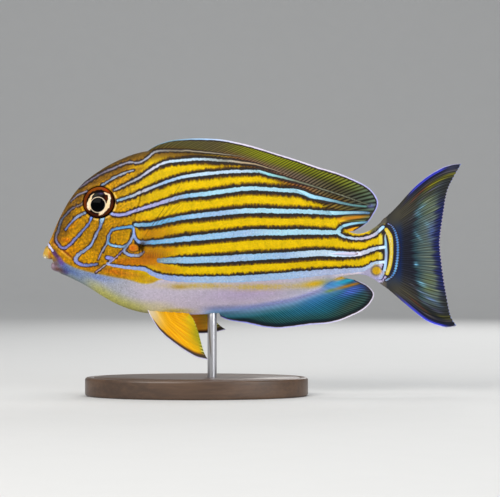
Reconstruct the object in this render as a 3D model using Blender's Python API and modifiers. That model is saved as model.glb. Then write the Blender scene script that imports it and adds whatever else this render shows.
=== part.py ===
"""A lined surgeonfish, life size, swimming level on a plain display stand.

Every size below is in millimetres. Lengths along the fish are measured back from the tip of its snout,
and heights up from its long axis. Its head points to -X and its left side faces -Y.
"""

import math

import bmesh
import bpy
from mathutils import Matrix, Vector

MM = 0.001
TOTAL_LENGTH = 180.0
AXIS_HEIGHT = 61.0  # the long axis above the floor
GAP = 0.3  # between pieces that touch
LEFT = -1
RIGHT = 1

# The body's outline from the side, as (back, up), and its half width, as (back, out)
TOP_LINE = [
    (-1.0, 0.4), (0.4, 2.3), (1.7, 4.0), (3.4, 7.2), (6.0, 13.4), (8.6, 18.7), (11.6, 23.8),
    (15.1, 28.4), (18.5, 31.8), (25.4, 36.7), (32.3, 40.4), (39.1, 43.1), (46.0, 44.6), (55.5, 45.1),
    (67.5, 43.4), (80.4, 40.2), (93.3, 35.7), (106.2, 29.5), (119.1, 21.9), (124.3, 17.6),
    (127.7, 13.8), (130.3, 10.8), (132.9, 9.3), (136.3, 8.9), (139.3, 9.7), (142.3, 11.4),
    (144.9, 13.5), (150.0, 18.5),
]
BOTTOM_LINE = [
    (-1.0, -0.6), (1.0, -3.8), (4.0, -6.7), (7.0, -8.3), (11.2, -10.1), (18.5, -13.8), (25.4, -18.2),
    (32.3, -21.9), (39.1, -24.4), (46.0, -25.7), (63.2, -26.2), (76.1, -25.4), (89.0, -23.4),
    (101.9, -20.9), (110.5, -18.7), (118.2, -15.7), (123.5, -12.3), (127.5, -10.2), (134.2, -8.9),
    (138.5, -9.2), (141.5, -10.5), (144.9, -12.8), (150.0, -17.5),
]
HALF_WIDTH = [
    (-1.0, 0.6), (0.5, 2.6), (3.0, 4.2), (7.0, 5.8), (13.0, 7.3), (25.0, 9.2), (38.0, 10.9),
    (50.0, 11.6), (70.0, 11.2), (90.0, 9.4), (108.0, 7.0), (122.0, 5.0), (132.0, 3.9),
    (138.0, 3.1), (144.9, 1.6), (150.0, 1.0),
]
BODY_FRONT = -1.0
BODY_REAR = 150.0
BODY_RINGS = 46
BODY_SIDES = 32
RING_CROWDING = 1.3  # more than 1 sets the rings closer at the head
WIDEST_LEVEL = 0.46  # share of the depth, up from the belly
BACK_FULLNESS = 1.0  # 1 is an ellipse, and less is fuller
BELLY_FULLNESS = 0.85

# Where the body is divided
GILL_LINE = [
    (44.6, 52.0), (43.6, 38.3), (42.1, 24.9), (40.4, 18.1), (39.1, 12.0), (38.1, 6.9), (35.7, 2.8),
    (30.1, -2.4), (23.2, -7.5), (18.5, -12.0), (13.0, -20.0), (8.0, -40.0),
]
GILL_COVER_RISE = 0.5  # how far the gill cover stands out of the flank behind it
GILL_COVER_FROM = 14.0
GILL_COVER_TO = 36.0
TAIL_FROM = 119.5
TAIL_TO = 144.9

# Mouth
MOUTH_TOP = (1.9, 4.0)
MOUTH_BOTTOM = (6.1, -7.6)
UPPER_LIP = {"at": (2.4, 0.8), "radii": (2.4, 3.6, 3.3), "lean": 12.0}
LOWER_LIP = {"at": (5.2, -5.4), "radii": (2.0, 3.3, 2.1), "lean": 20.0}
MOUTH_HOLLOW = {"at": (4.9, -2.6), "radii": (2.2, 2.8, 0.7)}

# Eyes and nostrils
EYE_AT = (23.8, 22.1)
EYE_RADIUS = 7.1
EYE_DEPTH_RADIUS = 3.1
EYE_SUNK = 1.4  # the eye's centre under the skin
EYE_TILT_UP = 11.0
EYE_TILT_FORWARD = 8.0
NOSTRILS = [((13.2, 22.0), 0.6), ((15.3, 21.2), 0.45)]

# The folding spine on each side of the tail
SPINE_AT = (129.3, 0.1)
SPINE_RADII = (6.2, 0.75, 0.95)
SPINE_GROOVE = 0.35  # the groove's clearance round it
SPINE_TURN = 6.5

# Fins, as the outline of the margin and of the root seen from the side
MEMBRANE = 0.5
DORSAL = {
    "spines": 9,
    "rays": 28,
    "root": [(45.2, 44.3), (55.5, 45.1), (67.5, 43.4), (80.4, 40.2), (93.3, 35.7), (106.2, 29.5),
             (119.1, 21.9), (124.3, 17.6), (127.7, 13.8), (130.2, 10.9)],
    "margin": [(45.0, 45.2), (49.4, 47.1), (52.8, 48.3), (56.3, 49.1), (63.2, 49.7), (70.1, 49.7),
               (76.9, 49.3), (83.8, 48.0), (90.7, 46.3), (97.6, 44.1), (104.5, 42.0), (111.4, 39.8),
               (118.3, 37.4), (125.2, 35.4), (132.1, 32.8), (138.9, 29.4), (142.5, 26.0), (144.2, 22.4),
               (143.5, 19.4), (142.0, 16.8), (140.1, 14.0), (137.2, 11.6), (134.2, 10.0)],
    "sunk": 1.6,
    "base": 1.9,
    "crest": 1.05,
}
ANAL = {
    "spines": 3,
    "rays": 26,
    "root": [(75.2, -25.4), (82.0, -24.7), (89.0, -23.4), (101.9, -20.9), (110.5, -18.7), (118.2, -15.7),
             (123.5, -12.3), (126.4, -10.7)],
    "margin": [(76.4, -27.0), (80.4, -28.5), (87.3, -29.7), (94.2, -31.3), (101.1, -32.0), (108.0, -31.4),
               (114.8, -30.5), (121.7, -30.0), (127.0, -28.9), (132.1, -26.9), (136.5, -24.8),
               (139.9, -22.2), (142.0, -19.0), (142.3, -16.8), (140.9, -14.8), (138.6, -13.0),
               (134.5, -11.2)],
    "sunk": 1.6,
    "base": 1.9,
    "crest": 1.05,
}
FIN_ROWS = 5
FIN_ROW_CURVE = 0.10  # how much a ray bows back, as a share of its length

CAUDAL = {
    "rays": 18,
    "root_top": 13.5,
    "root_bottom": -12.8,
    "upper_edge": [(144.9, 14.0), (149.3, 18.1), (152.7, 21.5), (156.2, 25.4), (159.6, 28.9), (163.1, 31.9),
                   (166.5, 34.4), (170.0, 36.4), (173.4, 37.9), (176.9, 38.7), (180.0, 38.9)],
    "lower_edge": [(144.9, -13.0), (149.3, -16.6), (156.2, -22.3), (163.1, -27.7), (166.5, -29.7),
                   (170.0, -31.0), (173.4, -31.6), (176.9, -31.2), (177.9, -30.8)],
    "rear": [(180.0, 38.9), (176.2, 32.2), (173.8, 26.5), (172.3, 17.6), (171.1, 8.3), (170.9, 3.0),
             (172.0, -7.3), (173.6, -17.8), (175.4, -26.6), (177.9, -30.8)],
    "rows": 7,
    "crest": 1.15,
    "root_half_width": 1.5,
    "root_fade": 5.0,
}

PECTORAL = {
    "rays": 14,
    "root_top": (41.4, 3.3),
    "root_bottom": (42.2, -0.8),
    "margin": [(59.3, 29.2), (60.8, 26.0), (60.9, 21.0), (59.8, 15.4), (57.6, 9.6), (55.0, 4.2),
               (51.8, -1.2), (49.0, -5.2), (46.8, -6.9)],
    "rows": 5,
    "flare": 0.24,
    "bow": 0.10,
    "base": 1.3,
    "crest": 0.85,
}
PELVIC = {
    "rays": 6,
    "root_front": (44.6, -25.4),
    "root_rear": (62.6, -25.6),
    "margin": [(71.2, -45.0), (69.6, -42.4), (68.3, -38.4), (66.9, -33.4), (65.2, -28.8), (63.6, -26.6)],
    "edge": [(44.6, -25.4), (46.6, -28.4), (49.4, -31.7), (52.8, -35.1), (56.3, -37.8), (59.7, -40.2), (63.2, -42.3),
             (66.6, -44.0), (71.2, -45.0)],
    "rows": 6,
    "root_out": 2.6,
    "flare": 0.22,
    "sunk": 2.4,
    "base": 1.6,
    "crest": 1.0,
    "lift": {LEFT: 0.0, RIGHT: 24.0},  # the right fin is folded back further
    "spread": {LEFT: 1.0, RIGHT: 0.45},
    "reach": {LEFT: 1.0, RIGHT: 1.05},
}

# Display stand
ROD_AT = 72.7
ROD_RADIUS = 2.0
ROD_IN_BODY = 8.0
ROD_IN_BASE = 4.6
BASE_CENTRE = 66.0
BASE_LENGTH = 96.0
BASE_WIDTH = 56.0
BASE_HEIGHT = 8.0
BASE_EDGE = 1.2


def clear_scene():
    for old in list(bpy.data.objects):
        bpy.data.objects.remove(old)


def new_collection(name):
    made = bpy.data.collections.new(name)
    bpy.context.scene.collection.children.link(made)
    return made


def place(back, out, up):
    """A point of the fish in metres, where out is towards +Y."""
    return Vector(((back - TOTAL_LENGTH / 2) * MM, out * MM, (up + AXIS_HEIGHT) * MM))


def curve_value(points, x):
    """The height at x of a smooth curve through (x, height) points."""
    last = len(points) - 1
    x = min(max(x, points[0][0]), points[last][0])
    k = max(i for i in range(last) if points[i][0] <= x)
    (x0, y0), (x1, y1) = points[k], points[k + 1]

    def slope(i):
        a, b = points[max(i - 1, 0)], points[min(i + 1, last)]
        return (b[1] - a[1]) / (b[0] - a[0])

    step = x1 - x0
    t = (x - x0) / step
    return (
        (1 + 2 * t) * (1 - t) ** 2 * y0
        + t * (1 - t) ** 2 * step * slope(k)
        + t * t * (3 - 2 * t) * y1
        + t * t * (t - 1) * step * slope(k + 1)
    )


def along(points, share):
    """The point at a share, 0 to 1, of the length of a smooth curve through the points."""
    spots = [Vector(p) for p in points]
    steps = [(b - a).length for a, b in zip(spots, spots[1:])]
    run = min(max(share, 0.0), 1.0) * sum(steps)
    k = 0
    while k < len(steps) - 1 and run > steps[k]:
        run -= steps[k]
        k += 1
    t = min(run / steps[k], 1.0)
    p0, p1, p2, p3 = (spots[min(max(k + d, 0), len(spots) - 1)] for d in (-1, 0, 1, 2))
    return 0.5 * (
        2 * p1 + (p2 - p0) * t + (2 * p0 - 5 * p1 + 4 * p2 - p3) * t**2 + (3 * p1 - p0 - 3 * p2 + p3) * t**3
    )


def blend(low, high, x):
    """0 below low, 1 above high, and smooth between."""
    t = min(max((x - low) / (high - low), 0.0), 1.0)
    return t * t * (3 - 2 * t)


def section_point(back, angle, swell, cover):
    """The skin at an angle round the body, where 90 degrees is the back. swell moves it out all round."""
    top = curve_value(TOP_LINE, back) + swell
    bottom = curve_value(BOTTOM_LINE, back) - swell
    half = curve_value(HALF_WIDTH, back) + swell
    half += cover * GILL_COVER_RISE * blend(GILL_COVER_FROM, GILL_COVER_TO, back)
    middle = bottom + WIDEST_LEVEL * (top - bottom)
    across, up = math.cos(angle), math.sin(angle)
    reach, fullness = (top - middle, BACK_FULLNESS) if up > 0 else (middle - bottom, BELLY_FULLNESS)
    return math.copysign(abs(across) ** fullness, across) * half, middle + reach * up


def skin_out(back, up):
    """How far out the skin is at a point of the side view."""
    top, bottom = curve_value(TOP_LINE, back), curve_value(BOTTOM_LINE, back)
    middle = bottom + WIDEST_LEVEL * (top - bottom)
    reach, fullness = (top - middle, BACK_FULLNESS) if up > middle else (middle - bottom, BELLY_FULLNESS)
    share = min(abs(up - middle) / reach, 1.0)
    return curve_value(HALF_WIDTH, back) * math.sqrt(1 - share * share) ** fullness


def face_outwards(bm):
    bmesh.ops.recalc_face_normals(bm, faces=bm.faces)
    if bm.calc_volume(signed=True) < 0:
        bmesh.ops.reverse_faces(bm, faces=bm.faces)


def finish_object(name, mesh, collection, material=None):
    made = bpy.data.objects.new(name, mesh)
    collection.objects.link(made)
    if material:
        mesh.materials.append(material)
    return made


def make_material(name, colour, roughness, metallic=0.0):
    made = bpy.data.materials.new(name)
    made.use_nodes = True
    shader = made.node_tree.nodes["Principled BSDF"]
    shader.inputs["Base Color"].default_value = (*colour, 1.0)
    shader.inputs["Roughness"].default_value = roughness
    shader.inputs["Metallic"].default_value = metallic
    return made


def body_mesh(name, swell=0.0, cover=0.0):
    """The whole body from snout to tail: a sphere with its poles at the two ends, each ring drawn as a section."""
    bm = bmesh.new()
    bmesh.ops.create_uvsphere(bm, u_segments=BODY_SIDES, v_segments=BODY_RINGS, radius=1.0)
    for vertex in bm.verts:
        ring = math.acos(min(max(vertex.co.z, -1.0), 1.0)) / math.pi
        angle = math.atan2(vertex.co.y, vertex.co.x)
        back = BODY_FRONT + (BODY_REAR - BODY_FRONT) * ring**RING_CROWDING
        out, up = section_point(back, angle, swell, cover)
        if min(ring, 1 - ring) < 0.5 / BODY_RINGS:  # a pole
            out = 0.0
            up = 0.5 * (curve_value(TOP_LINE, back) + curve_value(BOTTOM_LINE, back))
        vertex.co = place(back, out, up)
    face_outwards(bm)
    mesh = bpy.data.meshes.new(name)
    bm.to_mesh(mesh)
    bm.free()
    return mesh


def cut_flat(mesh, at, facing):
    """Takes off what lies past a plane, and closes the cut."""
    bm = bmesh.new()
    bm.from_mesh(mesh)
    everything = bm.verts[:] + bm.edges[:] + bm.faces[:]
    cut = bmesh.ops.bisect_plane(bm, geom=everything, plane_co=at, plane_no=facing, clear_outer=True)
    edges = [e for e in cut["geom_cut"] if isinstance(e, bmesh.types.BMEdge)]
    bmesh.ops.holes_fill(bm, edges=edges, sides=0)
    bmesh.ops.triangulate(bm, faces=bm.faces)
    face_outwards(bm)
    bm.to_mesh(mesh)
    bm.free()


def flat_outline(name, points, collection):
    """A solid 60 mm thick with this outline in the side view, to cut with."""
    curve = bpy.data.curves.new(name, "CURVE")
    curve.dimensions = "2D"
    curve.fill_mode = "BOTH"
    curve.extrude = 30 * MM
    line = curve.splines.new("POLY")
    line.points.add(len(points) - 1)
    for spot, (back, up) in zip(line.points, points):
        spot.co = (back * MM, up * MM, 0.0, 1.0)
    line.use_cyclic_u = True
    drawn = bpy.data.objects.new(name, curve)
    collection.objects.link(drawn)
    drawn.rotation_euler = (math.radians(90), 0, 0)
    drawn.location = place(0, 0, 0)
    bpy.context.view_layer.update()
    mesh = bpy.data.meshes.new_from_object(drawn.evaluated_get(bpy.context.evaluated_depsgraph_get()))
    mesh.transform(drawn.matrix_world)
    bpy.data.objects.remove(drawn)
    bm = bmesh.new()
    bm.from_mesh(mesh)
    bmesh.ops.remove_doubles(bm, verts=bm.verts, dist=1e-6)
    face_outwards(bm)
    bm.to_mesh(mesh)
    bm.free()
    return as_cutter(name, mesh, collection)


def as_cutter(name, mesh, collection):
    made = finish_object(name, mesh, collection)
    made.hide_render = True
    made.display_type = "WIRE"
    return made


def ellipsoid_mesh(name, centre, radii, turn=None, segments=20, rings=12):
    """A sphere stretched to three radii, turned, and moved to its centre."""
    bm = bmesh.new()
    bmesh.ops.create_uvsphere(bm, u_segments=segments, v_segments=rings, radius=1.0)
    stretch = Matrix.Diagonal((radii[0] * MM, radii[1] * MM, radii[2] * MM, 1.0))
    bm.transform(Matrix.Translation(centre) @ (turn or Matrix.Identity(4)) @ stretch)
    mesh = bpy.data.meshes.new(name)
    bm.to_mesh(mesh)
    bm.free()
    return mesh


def rod_mesh(name, back, radius, low, high, sides=28):
    """An upright round bar between two heights above the floor."""
    bm = bmesh.new()
    bmesh.ops.create_cone(
        bm, cap_ends=True, segments=sides, radius1=radius * MM, radius2=radius * MM, depth=(high - low) * MM
    )
    centre = place(back, 0, 0)
    centre.z = (low + high) / 2 * MM
    bm.transform(Matrix.Translation(centre))
    mesh = bpy.data.meshes.new(name)
    bm.to_mesh(mesh)
    bm.free()
    return mesh


def cut_with(piece, *cutters):
    for cutter in cutters:
        cut = piece.modifiers.new("Cut " + cutter.name, "BOOLEAN")
        cut.operation = "DIFFERENCE"
        cut.object = cutter


def shade_round(piece, degrees=40):
    piece.data.shade_smooth()
    piece.data.set_sharp_from_angle(angle=math.radians(degrees))


def ray_columns(count):
    """(share, crest) of each column of a fin: the crest of each ray, and the hollow between it and the next."""
    last = 2 * (count - 1)
    return [(k / last, 1 - k % 2) for k in range(last + 1)]


def fin_object(name, columns, rows, point, thickness, thickest, collection, material):
    """A fin drawn as one sheet, a column to each ridge line and a row to each step out, then given its thickness."""
    bm = bmesh.new()
    bmesh.ops.create_grid(bm, x_segments=len(columns) - 1, y_segments=rows, size=1.0)
    layer = bm.verts.layers.deform.verify()
    for vertex in bm.verts:
        i = round((vertex.co.x + 1) / 2 * (len(columns) - 1))
        j = round((vertex.co.y + 1) / 2 * rows)
        share, crest = columns[i]
        vertex.co = point(share, j / rows)
        thick = thickness(share, j / rows, crest)
        vertex[layer][0] = min(max((thick - MEMBRANE) / (thickest - MEMBRANE), 0.0), 1.0)
    bmesh.ops.triangulate(bm, faces=bm.faces, quad_method="SHORT_EDGE")
    mesh = bpy.data.meshes.new(name)
    bm.to_mesh(mesh)
    bm.free()
    fin = finish_object(name, mesh, collection, material)
    fin.vertex_groups.new(name="ridges")
    shell = fin.modifiers.new("Thickness", "SOLIDIFY")
    shell.thickness = thickest * MM
    shell.offset = 0.0
    shell.vertex_group = "ridges"
    shell.thickness_vertex_group = MEMBRANE / thickest
    return fin


def unpaired_fin(name, plan, collection, material, body):
    """The dorsal or anal fin, its rays swept back from the root line to the margin."""
    count = plan["spines"] + plan["rays"]
    root, margin = plan["root"], plan["margin"]
    inward = -1 if root[0][1] > 0 else 1

    def point(share, out):
        foot = along(root, share) + Vector((0, inward * plan["sunk"]))
        tip = along(margin, share)
        ray = tip - foot
        bow = FIN_ROW_CURVE * math.sin(math.pi * out) * ray.length
        spot = foot + ray * out + Vector((-ray.y, ray.x)).normalized() * bow * -inward
        return place(spot.x, 0, spot.y)

    def thickness(share, out, crest):
        fade = max(1 - out / 0.35, 0.0)
        ray = crest * (plan["crest"] - MEMBRANE) * (1 - 0.8 * out)
        return MEMBRANE + ray + (plan["base"] - plan["crest"]) * fade

    columns = ray_columns(count)
    fin = fin_object(name, columns, FIN_ROWS, point, thickness, plan["base"], collection, material)
    cut_with(fin, body)
    return fin


def caudal_fin(collection, material):
    """The tail fin: its outer rays run along the two edges, and the others fan to the hollow rear margin."""
    plan = CAUDAL

    def point(share, out):
        root = Vector((TAIL_TO + GAP, plan["root_top"] + (plan["root_bottom"] - plan["root_top"]) * share))
        tip = along(plan["rear"], share)
        straight = root + (tip - root) * out
        upper = along(plan["upper_edge"], out) - (
            Vector(plan["upper_edge"][0]) + (Vector(plan["upper_edge"][-1]) - Vector(plan["upper_edge"][0])) * out
        )
        lower = along(plan["lower_edge"], out) - (
            Vector(plan["lower_edge"][0]) + (Vector(plan["lower_edge"][-1]) - Vector(plan["lower_edge"][0])) * out
        )
        spot = straight + upper * max(1 - 3 * share, 0.0) ** 1.5 + lower * max(3 * share - 2, 0.0) ** 1.5
        return place(max(spot.x, TAIL_TO + GAP), 0, spot.y)

    def thickness(share, out, crest):
        height = 2 * share - 1
        root = 2 * plan["root_half_width"] * math.sqrt(max(1 - height * height, 0.0))
        distance = out * 28.0
        swollen = max(root - MEMBRANE, 0.2) * math.exp(-((distance / plan["root_fade"]) ** 1.5))
        ray = crest * (plan["crest"] - MEMBRANE) * (1 - 0.8 * out)
        return MEMBRANE + max(swollen, ray)

    columns = ray_columns(plan["rays"])
    return fin_object(
        "caudal_fin", columns, plan["rows"], point, thickness, 2 * plan["root_half_width"], collection, material
    )


def pectoral_fin(side, collection, material):
    """A spread fan that stands a little off the flank behind the gill cover."""
    plan = PECTORAL
    top, bottom = Vector(plan["root_top"]), Vector(plan["root_bottom"])

    def point(share, out):
        root = top + (bottom - top) * share
        tip = along(plan["margin"], share)
        ray = tip - root
        spot = root + ray * out
        length = ray.length * out
        clear = GAP + 0.02 + thickness(share, out, 1) / 2
        flare = skin_out(root.x, root.y) + plan["flare"] * length - plan["bow"] * length * out
        return place(spot.x, side * (max(flare, skin_out(spot.x, spot.y)) + clear), spot.y)

    def thickness(share, out, crest):
        fade = max(1 - out / 0.3, 0.0)
        return MEMBRANE + crest * (plan["crest"] - MEMBRANE) * (1 - 0.8 * out) + (plan["base"] - plan["crest"]) * fade

    columns = ray_columns(plan["rays"])
    name = "pectoral_fin_left" if side == LEFT else "pectoral_fin_right"
    return fin_object(name, columns, plan["rows"], point, thickness, plan["base"], collection, material)


def pelvic_fin(side, collection, material, body):
    """One of the two fins under the breast, with its strong spine along the front edge."""
    plan = PELVIC
    front, rear = Vector(plan["root_front"]), Vector(plan["root_rear"])
    lift = math.radians(plan["lift"][side])

    def point(share, out):
        root = front + (rear - front) * share
        tip = along(plan["margin"], share)
        edge = along(plan["edge"], out) - (
            Vector(plan["edge"][0]) + (Vector(plan["edge"][-1]) - Vector(plan["edge"][0])) * out
        )
        spot = root + (tip - root) * out + edge * (1 - share) ** 2 * plan["spread"][side]
        turned = spot - front
        turned.rotate(Matrix.Rotation(lift, 2))
        turned *= plan["reach"][side]
        spot = spot + (front + turned - spot) * out
        distance = (tip - root).length * out
        up = spot.y + plan["sunk"] * max(1 - 4 * out, 0.0)
        flare = plan["root_out"] + plan["flare"] * distance + 0.6 * (1 - share)
        return place(spot.x, side * flare, up)

    def thickness(share, out, crest):
        fade = max(1 - out / 0.35, 0.0)
        return MEMBRANE + crest * (plan["crest"] - MEMBRANE) * (1 - 0.7 * out) + (plan["base"] - plan["crest"]) * fade

    columns = ray_columns(plan["rays"])
    name = "pelvic_fin_left" if side == LEFT else "pelvic_fin_right"
    fin = fin_object(name, columns, plan["rows"], point, thickness, plan["base"], collection, material)
    cut_with(fin, body)
    return fin


def eye_frame(side):
    """The eye's centre and its turn: it looks out, a little up and a little forward."""
    out = skin_out(*EYE_AT) - EYE_SUNK
    centre = place(EYE_AT[0], side * out, EYE_AT[1])
    up = Matrix.Rotation(math.radians(side * EYE_TILT_UP), 4, "X")
    forward = Matrix.Rotation(math.radians(side * EYE_TILT_FORWARD), 4, "Z")
    return centre, forward @ up


def make_head(collection, cutters, material):
    mesh = body_mesh("head", cover=1.0)
    slope = Vector(MOUTH_BOTTOM) - Vector(MOUTH_TOP)
    facing = Vector((slope.y, 0, -slope.x)).normalized()
    cut_flat(mesh, place(MOUTH_TOP[0], 0, MOUTH_TOP[1]), facing)
    head = finish_object("head", mesh, collection, material)
    behind = GILL_LINE + [(BODY_REAR + 20, GILL_LINE[-1][1]), (BODY_REAR + 20, GILL_LINE[0][1])]
    cut_with(head, flat_outline("behind the gill line", behind, cutters))
    for side in (LEFT, RIGHT):
        centre, turn = eye_frame(side)
        radii = (EYE_RADIUS + GAP, EYE_DEPTH_RADIUS + GAP, EYE_RADIUS + GAP)
        cut_with(head, as_cutter(f"eye socket {side}", ellipsoid_mesh("socket", centre, radii, turn), cutters))
        for k, (spot, radius) in enumerate(NOSTRILS):
            hole = place(spot[0], side * (skin_out(*spot) + 0.1), spot[1])
            pit = ellipsoid_mesh("nostril", hole, (radius, 0.8, radius), segments=10, rings=6)
            cut_with(head, as_cutter(f"nostril {side} {k}", pit, cutters))
    at, radii = MOUTH_HOLLOW["at"], MOUTH_HOLLOW["radii"]
    hollow = ellipsoid_mesh("mouth", place(at[0], 0, at[1]), radii, segments=20, rings=10)
    cut_with(head, as_cutter("mouth hollow", hollow, cutters))
    shade_round(head)
    return head


def make_lip(name, plan, collection, material):
    """A rounded lip, flat where it lies against the slanted front of the head."""
    turn = Matrix.Rotation(math.radians(plan["lean"]), 4, "Y")
    mesh = ellipsoid_mesh(name, place(plan["at"][0], 0, plan["at"][1]), plan["radii"], turn, 18, 12)
    slope = Vector(MOUTH_BOTTOM) - Vector(MOUTH_TOP)
    ahead = Vector((slope.y, 0, -slope.x)).normalized()
    cut_flat(mesh, place(MOUTH_TOP[0], 0, MOUTH_TOP[1]) + ahead * GAP * MM, -ahead)
    lip = finish_object(name, mesh, collection, material)
    shade_round(lip, 60)
    return lip


def make_eye(side, collection, material):
    centre, turn = eye_frame(side)
    radii = (EYE_RADIUS, EYE_DEPTH_RADIUS, EYE_RADIUS)
    facing = turn @ Matrix.Rotation(math.radians(90), 4, "X")
    bm = bmesh.new()
    bmesh.ops.create_uvsphere(bm, u_segments=24, v_segments=12, radius=1.0)
    stretch = Matrix.Diagonal((radii[0] * MM, radii[2] * MM, radii[1] * MM, 1.0))
    bm.transform(Matrix.Translation(centre) @ facing @ stretch)
    name = "eye_left" if side == LEFT else "eye_right"
    mesh = bpy.data.meshes.new(name)
    bm.to_mesh(mesh)
    bm.free()
    eye = finish_object(name, mesh, collection, material)
    shade_round(eye, 60)
    return eye


def spine_frame(side):
    out = skin_out(*SPINE_AT) - 0.3
    turn = Matrix.Rotation(math.radians(side * -SPINE_TURN), 4, "Z")
    return place(SPINE_AT[0], side * out, SPINE_AT[1]), turn


def make_tail(collection, cutters, material):
    mesh = body_mesh("tail_stock")
    cut_flat(mesh, place(TAIL_TO, 0, 0), Vector((1, 0, 0)))
    cut_flat(mesh, place(TAIL_FROM + GAP, 0, 0), Vector((-1, 0, 0)))
    tail = finish_object("tail_stock", mesh, collection, material)
    for side in (LEFT, RIGHT):
        centre, turn = spine_frame(side)
        radii = [r + SPINE_GROOVE for r in SPINE_RADII]
        groove = ellipsoid_mesh("groove", centre, radii, turn, segments=12, rings=10)
        cut_with(tail, as_cutter(f"spine groove {side}", groove, cutters))
    shade_round(tail)
    return tail


def make_spine(side, collection, material):
    """The blade that folds forward into its groove: thick at the hinge behind, sharp in front."""
    centre, turn = spine_frame(side)
    name = "tail_spine_left" if side == LEFT else "tail_spine_right"
    mesh = ellipsoid_mesh(name, Vector((0, 0, 0)), SPINE_RADII, None, segments=10, rings=10)
    for vertex in mesh.vertices:
        share = vertex.co.x / (SPINE_RADII[0] * MM)
        slim = 0.62 + 0.38 * share
        vertex.co.y *= slim
        vertex.co.z *= slim
    mesh.transform(Matrix.Translation(centre) @ turn)
    spine = finish_object(name, mesh, collection, material)
    shade_round(spine, 60)
    return spine


def make_trunk(collection, cutters, material):
    mesh = body_mesh("trunk")
    cut_flat(mesh, place(TAIL_FROM, 0, 0), Vector((1, 0, 0)))
    trunk = finish_object("trunk", mesh, collection, material)
    line = [(back + 0.35, up - 0.15) for back, up in GILL_LINE]
    ahead = line + [(BODY_FRONT - 20, line[-1][1]), (BODY_FRONT - 20, line[0][1])]
    cut_with(trunk, flat_outline("ahead of the gill line", ahead, cutters))
    belly = AXIS_HEIGHT + curve_value(BOTTOM_LINE, ROD_AT)
    hole = rod_mesh("rod hole", ROD_AT, ROD_RADIUS + GAP, belly - 5, belly + ROD_IN_BODY + GAP)
    cut_with(trunk, as_cutter("rod hole in the belly", hole, cutters))
    shade_round(trunk)
    return trunk


def make_stand(collection, cutters, wood, steel):
    bpy.ops.mesh.primitive_cylinder_add(vertices=44, radius=0.5, depth=1.0)
    base = bpy.context.object
    base.name = "stand_base"
    for old in list(base.users_collection):
        old.objects.unlink(base)
    collection.objects.link(base)
    base.data.transform(Matrix.Diagonal((BASE_LENGTH * MM, BASE_WIDTH * MM, BASE_HEIGHT * MM, 1.0)))
    base.location = place(BASE_CENTRE, 0, 0)
    base.location.z = BASE_HEIGHT / 2 * MM
    base.data.materials.append(wood)
    edge = base.modifiers.new("Eased edge", "BEVEL")
    edge.width = BASE_EDGE * MM
    edge.segments = 2
    edge.limit_method = "ANGLE"
    edge.angle_limit = math.radians(40)
    foot = BASE_HEIGHT - ROD_IN_BASE
    hole = rod_mesh("rod hole", ROD_AT, ROD_RADIUS + GAP, foot - GAP, BASE_HEIGHT + 5)
    cut_with(base, as_cutter("rod hole in the base", hole, cutters))
    shade_round(base, 30)
    belly = AXIS_HEIGHT + curve_value(BOTTOM_LINE, ROD_AT)
    mesh = rod_mesh("stand_rod", ROD_AT, ROD_RADIUS, foot, belly + ROD_IN_BODY)
    rod = finish_object("stand_rod", mesh, collection, steel)
    shade_round(rod, 30)


def main():
    clear_scene()
    model = new_collection("lined surgeonfish")
    cutters = new_collection("cutters")
    skin = make_material("striped skin", (0.85, 0.60, 0.06), 0.4)
    lips = make_material("lips", (0.80, 0.62, 0.20), 0.45)
    iris = make_material("eye", (0.09, 0.05, 0.02), 0.1)
    bone = make_material("tail spine", (0.75, 0.72, 0.80), 0.3)
    dark_fin = make_material("olive fin", (0.16, 0.15, 0.05), 0.45)
    blue_fin = make_material("teal fin", (0.05, 0.20, 0.24), 0.45)
    tail_fin = make_material("tail fin", (0.10, 0.12, 0.14), 0.45)
    clear_fin = make_material("clear fin", (0.55, 0.42, 0.15), 0.35)
    yellow_fin = make_material("yellow fin", (0.90, 0.50, 0.02), 0.45)
    wood = make_material("stand wood", (0.05, 0.03, 0.02), 0.4)
    steel = make_material("stand steel", (0.60, 0.60, 0.62), 0.3, 1.0)

    make_head(model, cutters, skin)
    make_trunk(model, cutters, skin)
    make_tail(model, cutters, skin)
    make_lip("upper_lip", UPPER_LIP, model, lips)
    make_lip("lower_lip", LOWER_LIP, model, lips)

    body = as_cutter("body, one gap larger", body_mesh("larger body", swell=GAP, cover=1.0), cutters)
    unpaired_fin("dorsal_fin", DORSAL, model, dark_fin, body)
    unpaired_fin("anal_fin", ANAL, model, blue_fin, body)
    caudal_fin(model, tail_fin)
    for side in (LEFT, RIGHT):
        make_eye(side, model, iris)
        make_spine(side, model, bone)
        pectoral_fin(side, model, clear_fin)
        pelvic_fin(side, model, yellow_fin, body)
    make_stand(model, cutters, wood, steel)


main()
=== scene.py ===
import math

import bpy
import numpy as np
from mathutils import Matrix, Vector

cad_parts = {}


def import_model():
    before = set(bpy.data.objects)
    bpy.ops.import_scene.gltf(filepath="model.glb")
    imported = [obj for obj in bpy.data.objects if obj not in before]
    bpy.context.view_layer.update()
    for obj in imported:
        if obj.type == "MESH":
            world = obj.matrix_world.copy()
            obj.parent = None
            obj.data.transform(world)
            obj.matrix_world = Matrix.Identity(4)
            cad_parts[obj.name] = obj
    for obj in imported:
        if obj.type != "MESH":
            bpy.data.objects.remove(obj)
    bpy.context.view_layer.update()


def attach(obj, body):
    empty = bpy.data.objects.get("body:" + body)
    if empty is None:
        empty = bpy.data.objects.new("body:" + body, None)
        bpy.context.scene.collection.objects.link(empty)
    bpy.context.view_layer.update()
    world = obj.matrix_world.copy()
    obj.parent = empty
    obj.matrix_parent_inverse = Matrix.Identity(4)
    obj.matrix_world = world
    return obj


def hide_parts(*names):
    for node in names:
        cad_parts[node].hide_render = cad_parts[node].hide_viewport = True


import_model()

# Lengths of the fish are in millimetres: back from the tip of its snout, up from its long axis, and out from
# its midplane. A place read off the photograph is in pixels, and photo() turns it into back and up.
mm = 0.001
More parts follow.
